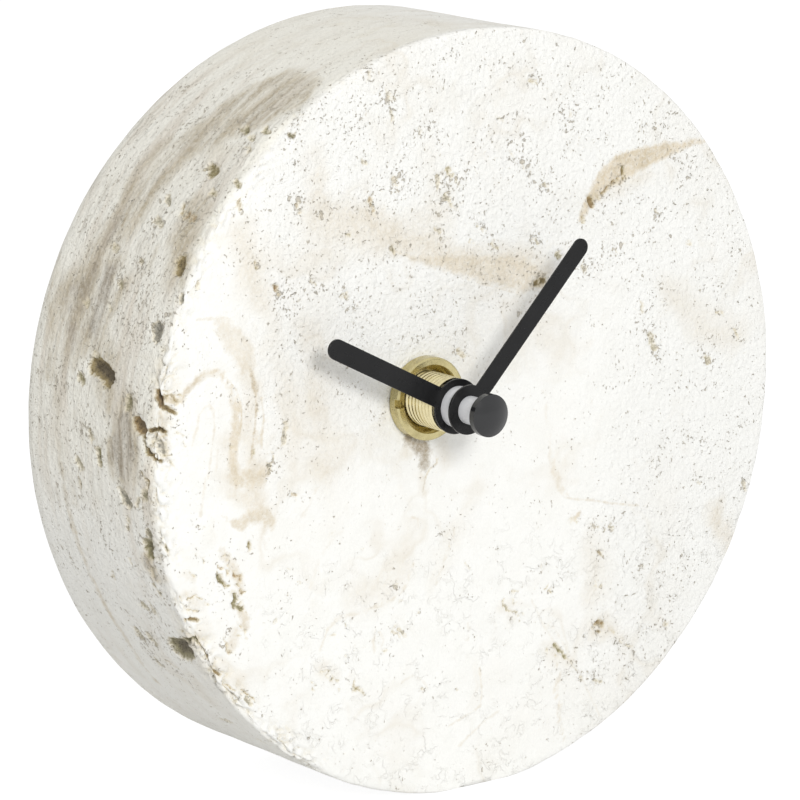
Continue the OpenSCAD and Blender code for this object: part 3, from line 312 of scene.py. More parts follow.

# %% [markdown]
# ## Stone drum: where things are
#
# Hollows, crevices and stains that stand out were placed one by one. Each is a short line of points on
# the stone's skin, given as x, depth behind the face, and height above the drum's axis, so one
# list serves the face, the rim and the side. The parts that were not seen get a scatter of
# hollows and stains from a fixed seed.

# %% Hollows, crevices and stains of the stone
# Points along each hollow, half its width, its depth and its tone, from 0 grey to 1 brown
hollows = [
    ([(-5.4, 0, 35.6), (-4.7, 0, 34.7)], 0.5, 0.4, 0.6), ([(-4, 0, 34.1), (-3.6, 0, 33.2)], 0.35, 0.3, 0.3),
    ([(-7.1, 0, 34.8), (-7, 0, 33.5)], 0.45, 0.3, 0.1), ([(-5.7, 0, 32), (-5, 0, 31.3)], 0.5, 0.4, 0.3),
    ([(-4.7, 0, 30.5), (-3.8, 0, 29.9)], 0.4, 0.3, 0.4),
    ([(-7.3, 0, 27.2), (-6.6, 0, 26.9)], 0.4, 0.3, 0.3), ([(0, 0, 27.1), (1, 0, 26.3)], 0.3, 0.25, 0.4),
    ([(2.5, 0, 24.3), (3.4, 0, 23.6)], 0.45, 0.35, 0.4),
    ([(-1.3, 0, 25.1), (-0.7, 0, 24.8)], 0.3, 0.25, 0.4),
    ([(10.1, 0, 24.3), (11.2, 0, 23.5)], 0.35, 0.3, 0.4),
    ([(10.5, 0, 17.6), (12.1, 0, 18)], 0.55, 0.7, 0.7),
    ([(14.1, 0, 21.6), (14.8, 0, 20.9)], 0.35, 0.5, 0.5), ([(8, 0, 35.4), (8.3, 0, 34.5)], 0.3, 0.25, 0.1),
    ([(11.3, 0, 31.8), (12.5, 0, 31.4)], 0.3, 0.25, 0.5),
    ([(9.1, 0, 46.8), (10.6, 0, 46.4)], 0.35, 0.3, 0.7), ([(20.3, 0, 29), (20.8, 0, 27.8)], 0.6, 0.8, 0.8),
    ([(26.4, 0, 32.7), (26.8, 0, 31.3)], 0.4, 0.7, 0.7), ([(22.7, 0, 29.6), (23.8, 0, 30)], 0.4, 0.6, 0.8),
    ([(24.5, 0, 30.6), (25.6, 0, 31)], 0.4, 0.6, 0.8), ([(21.8, 0, 29.1), (22.1, 0, 28.6)], 0.3, 0.4, 0.8),
    ([(19, 0, 26.5), (19.2, 0, 25.6)], 0.35, 0.4, 0.7), ([(31.8, 0, 7.5), (33, 0, 5.5)], 0.6, 0.35, 0.4),
    ([(42.7, 0, 3), (43.3, 0, 2.3)], 0.55, 0.35, 0.5), ([(30.4, 0, 12.4), (30.6, 0, 11.1)], 0.3, 0.25, 0.1),
    ([(19.1, 0, 19), (19.5, 0, 18.2)], 0.4, 0.3, 0.1), ([(-3.4, 0, 9.8), (-2.5, 0, 9.1)], 0.6, 0.25, 0.7),
    ([(44.5, 0, 9.5), (46.1, 0, 8.8)], 0.3, 0.25, 0.6), ([(48.3, 0, 6.6), (48.9, 0, 5.3)], 0.3, 0.25, 0.6),
    ([(-15.1, 0, 25.6), (-14.8, 0, 25.1)], 0.5, 0.45, 0.4),
    ([(-18.8, 0, 32.8), (-18.4, 0, 31.4)], 0.5, 0.4, 0.9),
    ([(-31, 0, 33.4), (-30.8, 0, 32.3)], 0.45, 0.35, 0.9),
    ([(-27.1, 0, 31.7), (-27.1, 0, 31.2)], 0.35, 0.3, 0.7),
    ([(-23.2, 0, 28.4), (-22.2, 0, 28.2)], 0.35, 0.35, 0.5),
    ([(-38.3, 0, 26.2), (-38, 0, 25.5)], 0.4, 0.35, 0.7),
    ([(-34.9, 0, 22.7), (-34.4, 0, 21.5)], 0.45, 0.45, 0.9),
    ([(-23.7, 0, 20), (-22.9, 0, 19.6)], 0.4, 0.3, 0.8),
    ([(-29, 0, 22.7), (-28.3, 0, 22.2)], 0.35, 0.25, 0.5),
    ([(-20.1, 0, 38.3), (-19.6, 0, 38)], 0.35, 0.3, 0.3),
    ([(-15.8, 0, 47), (-15.1, 0, 46.6)], 0.6, 0.2, 0.9),
    ([(-15.3, 0, 44.4), (-15, 0, 43.6)], 0.4, 0.3, 0.1),
    ([(-14.6, 0, 35.4), (-14.4, 0, 34.3)], 0.55, 0.25, 0.9),
    ([(-19.1, 0, 50.6), (-18.7, 0, 50.3)], 0.35, 0.25, 0.2),
    ([(5.6, 0, 37.3), (6, 0, 36.7)], 0.3, 0.2, 0.2), ([(-10.3, 0, 42), (-9.9, 0, 41.5)], 0.3, 0.2, 0.3),
    ([(3.8, 0, 42), (4.3, 0, 41.8)], 0.3, 0.2, 0.3), ([(16.5, 0, 41.7), (16.6, 0, 41.3)], 0.3, 0.2, 0.2),
    ([(24.5, 0, 21), (25.2, 0, 20.7)], 0.3, 0.2, 0.3), ([(38.9, 0, 20.8), (39.3, 0, 20.2)], 0.3, 0.2, 0.2),
    ([(32.5, 0, 25.9), (33.1, 0, 25.4)], 0.3, 0.2, 0.3),
    ([(5, 0, -27.8), (5, 0, -28.5), (5.7, 0, -29.4)], 0.32, 0.45, 0.5),
    ([(6.1, 0, -29.6), (7.4, 0, -29.8)], 0.25, 0.4, 0.5),
    ([(6.6, 0, -28.2), (6.8, 0, -28.8)], 0.2, 0.25, 0.3),
    ([(8.1, 0, -29.9), (8.5, 0, -30.5)], 0.28, 0.35, 0.3),
    ([(7.7, 0, -30.6), (8.1, 0, -31.6)], 0.2, 0.25, 0.8),
    ([(12.3, 0, -27.4), (12.9, 0, -27.3)], 0.25, 0.35, 0.5),
    ([(13.3, 0, -27.7), (13.6, 0, -28.2)], 0.2, 0.3, 0.7),
    ([(6.4, 0, -26.6), (7.5, 0, -27)], 0.16, 0.25, 0.2),
    ([(22.5, 0, -34.1), (23.5, 0, -34.6)], 0.45, 0.6, 0.8),
    ([(21.4, 0, -34.7), (22, 0, -34.9)], 0.2, 0.35, 0.9),
    ([(22.4, 0, -35.3), (22.9, 0, -35.6)], 0.28, 0.4, 0.9),
    ([(24.8, 0, -35.6), (25.6, 0, -36.3)], 0.3, 0.35, 0.6),
    ([(26.6, 0, -37.4), (27, 0, -37.9)], 0.2, 0.25, 0.9),
    ([(27.9, 0, -38.4), (28.7, 0, -38.8)], 0.3, 0.35, 1),
    ([(14.3, 0, -35.9), (15.2, 0, -36.8), (16.6, 0, -38.2)], 0.36, 0.55, 0.5),
    ([(13.5, 0, -37), (14.7, 0, -37.9), (15.8, 0, -38.3)], 0.16, 0.3, 0.6),
    ([(13, 0, -36.3), (13.4, 0, -36.7)], 0.22, 0.3, 0.4),
    ([(11.3, 0, -34.1), (12.6, 0, -35)], 0.14, 0.2, 0.8),
    ([(22.1, 0, -28.3), (23.4, 0, -28.8)], 0.2, 0.25, 0.3),
    ([(19.4, 0, -41.9), (20.6, 0, -42.4)], 0.24, 0.3, 0.2),
    ([(21.5, 0, -42.4), (23.2, 0, -43), (23.4, 0, -43.5)], 0.22, 0.3, 0.2),
    ([(21.6, 0, -19.1), (22.4, 0, -19.7)], 0.22, 0.3, 0.15),
    ([(23.5, 0, -19.8), (24.1, 0, -19.9)], 0.18, 0.25, 0.15),
    ([(24.6, 0, -19.9), (25.4, 0, -20.6)], 0.3, 0.35, 0.15),
    ([(22.6, 0, -23.3), (23, 0, -23.8)], 0.35, 0.3, 0.8),
    ([(21.9, 0, -28.3), (22.3, 0, -28.7)], 0.25, 0.2, 0.5),
    ([(-13.6, 0, -29.2), (-13.2, 0, -29.7)], 0.45, 0.4, 0.2),
    ([(50.6, 0, -17.2), (50.8, 0, -18.2)], 0.4, 0.4, 0.1),
    ([(17.5, 0, -17.4), (18.2, 0, -18)], 0.5, 0.15, 0.9),
    ([(41.5, 0, -15.7), (42.1, 0, -16)], 0.3, 0.2, 0.4),
    ([(30.5, 0, -26.8), (30.8, 0, -27.3)], 0.3, 0.2, 0.4),
    ([(35.4, 0, -36.1), (36, 0, -36.5)], 0.4, 0.25, 0.3),
    ([(-39.5, 0, -12.4), (-39.5, 0, -13.4)], 0.4, 0.6, 0.6),
    ([(-33.3, 0, 2.5), (-33.5, 0, 1.1)], 0.55, 0.35, 0.1),
    ([(-33.7, 0, 3.6), (-33.3, 0, 3.3)], 0.25, 0.25, 0.1),
    ([(-35, 0, -0.4), (-35.5, 0, -1.3)], 0.22, 0.3, 0.1),
    ([(-35.9, 0, -2), (-36.2, 0, -2.9)], 0.35, 0.4, 0.1),
    ([(-36.4, 0, -3.6), (-36.6, 0, -4.2)], 0.22, 0.3, 0.1),
    ([(-38.6, 0, 0.4), (-38.7, 0, -0.4)], 0.22, 0.3, 0.6),
    ([(-42.5, 0, 1.6), (-42.2, 0, 1.2)], 0.3, 0.3, 0.95),
    ([(-41.9, 0, -3.5), (-41.3, 0, -3.7)], 0.35, 0.25, 0.95),
    ([(-38.3, 0, 5.9), (-38, 0, 5.6)], 0.25, 0.3, 0.6),
    ([(-47.8, 0, -8), (-46.8, 0, -8.1)], 0.14, 0.2, 0.3),
    ([(-47.9, 0, -8.9), (-46.4, 0, -9.2)], 0.2, 0.2, 0.9),
    ([(-32.4, 0, -6.8), (-31.5, 0, -7.1)], 0.35, 0.3, 0.9),
    ([(-35.4, 0, -24.2), (-34.9, 0, -24.5)], 0.3, 0.3, 0.6),
    ([(-21.9, 0, -35.6), (-20.6, 0, -36.7)], 0.45, 0.3, 0.9),
    ([(-26.4, 0, -33.8), (-25.7, 0, -34.2)], 0.35, 0.25, 0.8),
    ([(-20.6, 0, -16.3), (-20.2, 0, -16.6)], 0.3, 0.25, 0.4),
    ([(-44.7, 0, -14.8), (-44.2, 0, -15.3)], 0.3, 0.45, 1),
    ([(-44.7, 0, -16.5), (-44.2, 0, -17.7)], 0.42, 0.8, 0.5),
    ([(-44.1, 0, -17.6), (-43.2, 0, -18)], 0.36, 0.6, 0.6),
    ([(-44.7, 0, -16.5), (-44.4, 0, -17)], 0.25, 0.4, 0.6),
    ([(-43.4, 0, -15.9), (-42.9, 0, -16.2)], 0.3, 0.4, 0.8),
    ([(-43, 0, -15.1), (-42.9, 0, -15.8)], 0.2, 0.4, 0.7),
    ([(-42, 0, -16.6), (-41, 0, -17.4)], 0.5, 0.5, 0.9),
    ([(-42.1, 0, -17.9), (-41.1, 0, -18.2)], 0.2, 0.35, 0.7),
    ([(-40.9, 0, -18.8), (-40.6, 0, -19.3)], 0.35, 0.45, 0.8),
    ([(-41.9, 0, -19.8), (-42.1, 0, -20.7)], 0.55, 0.8, 0.5),
    ([(-41.8, 0, -21.1), (-40.8, 0, -21.5)], 0.5, 0.7, 0.5),
    ([(-40.4, 0, -21.7), (-40.1, 0, -22.3)], 0.22, 0.4, 0.7),
    ([(-42.4, 0, -21.2), (-41.9, 0, -21.6)], 0.25, 0.35, 0.8),
    ([(-41.3, 0, -23.4), (-40.9, 0, -24.3)], 0.25, 0.35, 0.9),
    ([(-40.5, 0, -25), (-40, 0, -25.7)], 0.28, 0.35, 0.9),
    ([(-41.8, 0, -24.7), (-41.3, 0, -25.2)], 0.22, 0.3, 0.9),
    ([(-43.5, 0, -26.3), (-42.8, 0, -27.4)], 0.35, 0.35, 0.85),
    ([(-44.1, 0, -25.5), (-43.8, 0, -26)], 0.2, 0.25, 0.8),
    ([(-43.8, 0, -13.7), (-43.2, 0, -14.3)], 0.22, 0.3, 0.9),
    ([(-48.5, 0, -12.5), (-48.1, 0, -13.1)], 0.18, 0.2, 0.3),
    ([(-47.6, 0, -13.4), (-47, 0, -14.2)], 0.2, 0.25, 0.3),
    ([(-51.2, 0, -18.7), (-50.5, 0, -19.6)], 0.3, 0.3, 0.3),
    ([(-47.1, 0, -19.6), (-46.6, 0, -20)], 0.25, 0.3, 0.3),
    ([(-27.7, 0, -32.8), (-26.7, 0, -33), (-25.8, 0, -33.6)], 0.25, 0.25, 0.5),
    ([(-25.7, 0, -33.6), (-24.6, 0, -34.8), (-23.9, 0, -36.1)], 0.2, 0.25, 0.4),
    ([(-29.1, 0, -34), (-28.4, 0, -34.7)], 0.22, 0.25, 0.3),
    ([(-29, 0, -35.1), (-28.8, 0, -35.6)], 0.22, 0.35, 0.2),
    ([(-21.7, 0, -35.3), (-21.5, 0, -36.3), (-20.6, 0, -36.7)], 0.28, 0.4, 0.6),
    ([(-20.5, 0, -36.9), (-19.8, 0, -37.6)], 0.22, 0.3, 0.3),
    ([(-14.6, 0, -28.7), (-14.8, 0, -29.4), (-13.9, 0, -30)], 0.25, 0.3, 0.2),
    ([(-13.6, 0, -28.9), (-13.2, 0, -29.7)], 0.22, 0.25, 0.2),
    ([(-16.8, 0, -31.5), (-16.2, 0, -31.9)], 0.3, 0.2, 0.3),
    ([(-17.8, 0, -28.7), (-17.3, 0, -29.1)], 0.2, 0.25, 0.7),
    ([(-23.4, 0, -31.4), (-22.9, 0, -31.7)], 0.2, 0.3, 0.1),
    ([(-9.8, 0, -38.3), (-9.5, 0, -38.7)], 0.25, 0.4, 0.1),
    ([(-3.7, 0, -39.5), (-3.4, 0, -39.7)], 0.2, 0.35, 0.1),
    ([(-21.5, 0, -30), (-21.1, 0, -30.4)], 0.16, 0.2, 0.1),
    ([(-23.4, 0, -26.2), (-23.2, 0, -27.1)], 0.14, 0.2, 0.4),
    ([(-25.3, 0, -27.8), (-25, 0, -28.1)], 0.14, 0.2, 0.2),
    ([(-33, 0, -17.2), (-32.6, 0, -17.4)], 0.14, 0.2, 0.1),
    ([(-31.4, 0, -19.2), (-30.9, 0, -19.5)], 0.2, 0.2, 0.2),
    ([(-33.3, 0, -21.2), (-32.5, 0, -21.4)], 0.14, 0.15, 0.2),
    ([(-14.6, 0, -22.6), (-14.3, 0, -22.9)], 0.2, 0.2, 0.4),
    ([(-13.8, 0, -24.6), (-13.2, 0, -25)], 0.2, 0.2, 0.3),
    ([(-10.4, 0, -26.5), (-10, 0, -27.1)], 0.2, 0.25, 0.2),
    ([(-4.9, 0, -18.7), (-4.5, 0, -18.9)], 0.16, 0.2, 0.4),
    ([(-5.9, 0, -16.4), (-5.6, 0, -16.6)], 0.12, 0.2, 0.2),
    ([(-2, 0, -21.1), (-1.4, 0, -21.9)], 0.22, 0.2, 0.2),
    ([(-0.7, 0, -19.8), (-0.4, 0, -20.2)], 0.16, 0.2, 0.2),
    ([(-26.1, 0, -12.9), (-25.2, 0, -13.2)], 0.16, 0.15, 0.3),
    ([(8.7, 0, -12.4), (9.1, 0, -12.6)], 0.14, 0.2, 0.1),
    ([(2.1, 0, -12.6), (2.3, 0, -13.3)], 0.16, 0.15, 0.1),
    ([(11.9, 0, -24.2), (12.3, 0, -24.5)], 0.16, 0.25, 0.1),
    ([(18.2, 0, -17.7), (18.4, 0, -18.5)], 0.2, 0.25, 0.5),
    ([(-39.5, 8.8, 38.3), (-40, 7.1, 37.8)], 1.01, 0.6, 0.6),
    ([(-40.2, 1.8, 37.5), (-40.5, 0.5, 37.2)], 0.55, 0.5, 0.5),
    ([(-40.9, 0, 34.8), (-40.4, 0, 33.8)], 0.5, 0.35, 0.8),
    ([(-41.7, 5.3, 35.8), (-42.1, 4.4, 35.5)], 0.7, 0.35, 0.6),
    ([(-44.4, 7.2, 32.4), (-44.5, 5.6, 32.3)], 0.85, 0.4, 0.9),
    ([(-45.3, 13.3, 31.1), (-45.7, 11.8, 30.6)], 0.7, 0.35, 0.3),
    ([(-48, 3.8, 26.9), (-48.5, 3.1, 26)], 1.16, 0.9, 0.7),
    ([(-49.9, 0.9, 23.2), (-50.3, 0.8, 22.3)], 0.55, 0.6, 0.2),
    ([(-47.7, 0, 24.6), (-47.7, 0, 23.8)], 0.4, 0.35, 0.2),
    ([(-51.8, 4, 18.4), (-52.2, 3.6, 17.5)], 1.16, 0.8, 0.15),
    ([(-53.8, 16.2, 11.3), (-53.9, 14.4, 11), (-54, 12.5, 10.3)], 1.47, 1.3, 0.7),
    ([(-54.2, 19.5, 9.4), (-54.3, 18.6, 8.8)], 0.78, 0.45, 0.5),
    ([(-53.4, 16.6, 13.1), (-53.6, 15.8, 12.4)], 0.54, 0.35, 0.5),
    ([(-34.1, 8.4, 43.2), (-34.4, 7.2, 42.9)], 0.78, 0.5, 0.5),
    ([(-34.9, 5.7, 42.5), (-35.4, 4.7, 42.1)], 0.62, 0.4, 0.5),
    ([(-33.5, 4.3, 43.6), (-33.9, 3, 43.3)], 0.62, 0.45, 0.5),
    ([(-32.4, 0, 43.5), (-31.7, 0, 42.9)], 0.5, 0.5, 0.4),
    ([(-36.3, 4.3, 41.3), (-36.8, 3.4, 40.9)], 0.46, 0.3, 0.3),
    ([(-43.2, 13.7, 34), (-43.8, 12.4, 33.3)], 0.62, 0.4, 0.3),
    ([(-43.8, 9.3, 33.3), (-44.2, 8.4, 32.7)], 0.54, 0.35, 0.7),
    ([(-54.4, 7.2, 8.2), (-54.5, 7, 7.2)], 0.93, 0.6, 0.45),
    ([(-55, 14, -0.2), (-55, 13.6, -1.4)], 0.78, 0.6, 0.5),
    ([(-55, 19.1, -2.1), (-54.9, 18.5, -3.3)], 0.7, 0.4, 0.4),
    ([(-54.7, 19, -5.4), (-54.7, 18.9, -6.1)], 0.54, 0.35, 0.4),
    ([(-55, 15.8, 2.3), (-55, 15.5, 1.2)], 0.62, 0.35, 0.4),
    ([(-54.8, 8.4, -5), (-54.6, 7.1, -6.3)], 1.01, 0.6, 0.2),
    ([(-54.9, 2.9, -3.7), (-54.8, 3.2, -4.6)], 0.7, 0.45, 0.4),
    ([(-54.8, 4.5, -5.1), (-54.7, 4.9, -5.7)], 0.54, 0.35, 0.3),
    ([(-54.2, 3, -9.2), (-54, 3.1, -10.5)], 0.7, 0.55, 0.3),
    ([(-53.8, 3.9, -11.5), (-53.5, 3.9, -12.7)], 1.16, 0.95, 0.5),
    ([(-54.3, 7.8, -9), (-54.1, 8.1, -10.1)], 0.54, 0.3, 0.3),
    ([(-53.4, 0, -11.2), (-53, 0, -11.8)], 0.45, 0.45, 0.4),
    ([(-53, 4.2, -14.8), (-52.7, 4.2, -15.8)], 0.54, 0.3, 0.2),
    ([(-52.1, 5.1, -17.6), (-51.7, 4.2, -18.6)], 0.54, 0.35, 0.3),
    ([(-50.5, 10.4, -21.7), (-50.4, 9.2, -22)], 0.62, 0.4, 0.4),
    ([(-50.7, 8, -21.3), (-50.3, 7.8, -22.2)], 0.54, 0.35, 0.3),
    ([(-48, 15.5, -26.8), (-47.5, 15.3, -27.7)], 0.78, 0.45, 0.3),
    ([(-47.9, 12.8, -27.1), (-47.3, 12.1, -28.1)], 0.7, 0.4, 0.3),
    ([(-45.1, 15, -31.5), (-44.3, 15.1, -32.5)], 0.54, 0.35, 0.2),
    ([(-45.3, 11.2, -31.2), (-45.1, 10.6, -31.5)], 0.54, 0.3, 0.2),
    ([(-54.1, 0.9, 10.1), (-54.2, 0.5, 9.5), (-54, 0, 8.9)], 0.85, 1.3, 0.85),
    ([(-53.1, 0, 9.8), (-51.8, 0, 9.5), (-51.1, 0, 8.9)], 0.6, 0.35, 0.75),
    ([(-54.7, 4.8, 5.5), (-54.8, 3.5, 5)], 1.08, 1.1, 0.85),
    ([(-54.5, 0, 3), (-53.5, 0, 2.1)], 1.1, 0.4, 0.1),
    ([(-52.4, 0, 0.5), (-51.9, 0, 0.1)], 0.25, 0.35, 0.2),
    ([(-51.2, 0, 4.6), (-50.4, 0, 4)], 0.22, 0.25, 0.7),
    ([(-54.8, 0.4, 4.4), (-53.6, 0, 4.2)], 0.3, 0.25, 0.9),
    ([(-47.6, 5.9, -27.6), (-47.8, 4.1, -27.2)], 2.17, 1.3, 0.45),
    ([(-48.7, 2.9, -25.5), (-49, 0.9, -25), (-48.6, 0, -25.4)], 0.5, 0.8, 0.4),
    ([(-40.2, 0, -34.5), (-39.4, 0, -35.4)], 0.5, 0.5, 0.25),
    ([(-42.1, 0, -35.1), (-41.7, 0, -35.6)], 0.45, 0.4, 0.3),
    ([(-53, 9.3, -14.7), (-52.8, 9.3, -15.3)], 0.46, 0.25, 0.3),
    ([(-52, 15.2, -17.8), (-51.8, 15.4, -18.6)], 0.46, 0.25, 0.2),
    ([(-51.5, 21.6, 19.3), (-51.7, 20.9, 18.6)], 0.54, 0.3, 0.5),
    ([(-47.9, 19.8, 27), (-48.3, 18.8, 26.4)], 0.62, 0.3, 0.5),
    ([(-50.1, 15.2, 22.7), (-50.4, 14.5, 22.1)], 0.62, 0.35, 0.5),
    ([(-51.5, 15.7, 19.4), (-51.6, 15.2, 19.1)], 0.46, 0.3, 0.4),
    ([(-48.5, 12.6, 25.9), (-48.7, 12, 25.5)], 0.46, 0.3, 0.4),
    ([(-37.1, 10.5, -40.6), (-37.5, 7.9, -40.2)], 0.54, 0.3, 0.3),
    ([(-34.7, 5.2, -42.7), (-34.3, 3.9, -43)], 0.46, 0.25, 0.2),
]
# Points along each crevice, half its width and its depth
crevices = [
    ([(-54.2, 0, 8.6), (-53.4, 0, 8.2), (-52.6, 0, 8), (-51.5, 0, 7.3)], 0.4, 0.9),
    ([(-53.7, 0, 10.6), (-52.1, 0, 10.1), (-50.6, 0, 9.5)], 0.16, 0.35),
    ([(-51.5, 0, 9.5), (-50.8, 0, 8.7), (-51.5, 0, 8.1)], 0.14, 0.3),
    ([(-54.8, 3.3, 4.9), (-54.9, 2.9, 3.8), (-54.9, 2.6, 2.6), (-55, 1.9, 1.7)], 0.4, 1.1),
    ([(-55, 1.9, 1.7), (-55, 0.4, 1.1), (-53.7, 0, 0.7)], 0.3, 0.7),
    ([(-54.8, 1.9, 4.9), (-54.6, 0, 5.2), (-53.1, 0, 4.8)], 0.4, 0.9),
    ([(-53.1, 0, 4.8), (-53, 0, 4.2)], 0.25, 0.6), ([(-53.7, 0, 1.4), (-52.2, 0, 1.5)], 0.15, 0.3),
    ([(-50.4, 0, 3.4), (-49.9, 0, 2.4)], 0.14, 0.2),
    ([(-55, 3.4, -1.2), (-55, 2, -2.1), (-54.9, 2.4, -3.8)], 0.26, 0.45),
    ([(-50.4, 0.4, -22), (-49.2, 0, -21.7), (-48.2, 0, -22.1)], 0.34, 0.6),
    ([(-48.6, 0, -24.7), (-47.5, 0, -26.3), (-46.8, 0, -27.8)], 0.3, 0.5),
    ([(-46, 0, -29.1), (-44.4, 0, -30.5)], 0.3, 0.45), ([(-49.5, 2.5, -24), (-49.6, 0, -23.1)], 0.2, 0.35),
    ([(-49.9, 0, -18.9), (-48.5, 0, -18.5), (-47.4, 0, -19.3)], 0.16, 0.3),
    ([(-49.5, 0, -20.3), (-48.1, 0, -20.9)], 0.16, 0.3),
    ([(-44.8, 1.3, -31.9), (-43.4, 0, -32.1), (-42, 0, -33.2)], 0.2, 0.35),
    ([(-40.9, 0, -33.1), (-38.7, 0, -35)], 0.18, 0.3),
    ([(-7, 0, -5.9), (-8.3, 0, -6.5), (-9.3, 0, -7.8)], 0.14, 0.2),
    ([(16.6, 0, -38.2), (17.9, 0, -39.7), (18.8, 0, -40.8)], 0.12, 0.2),
    ([(-49.5, 0, -15), (-48.5, 0, -16)], 0.16, 0.3),
]
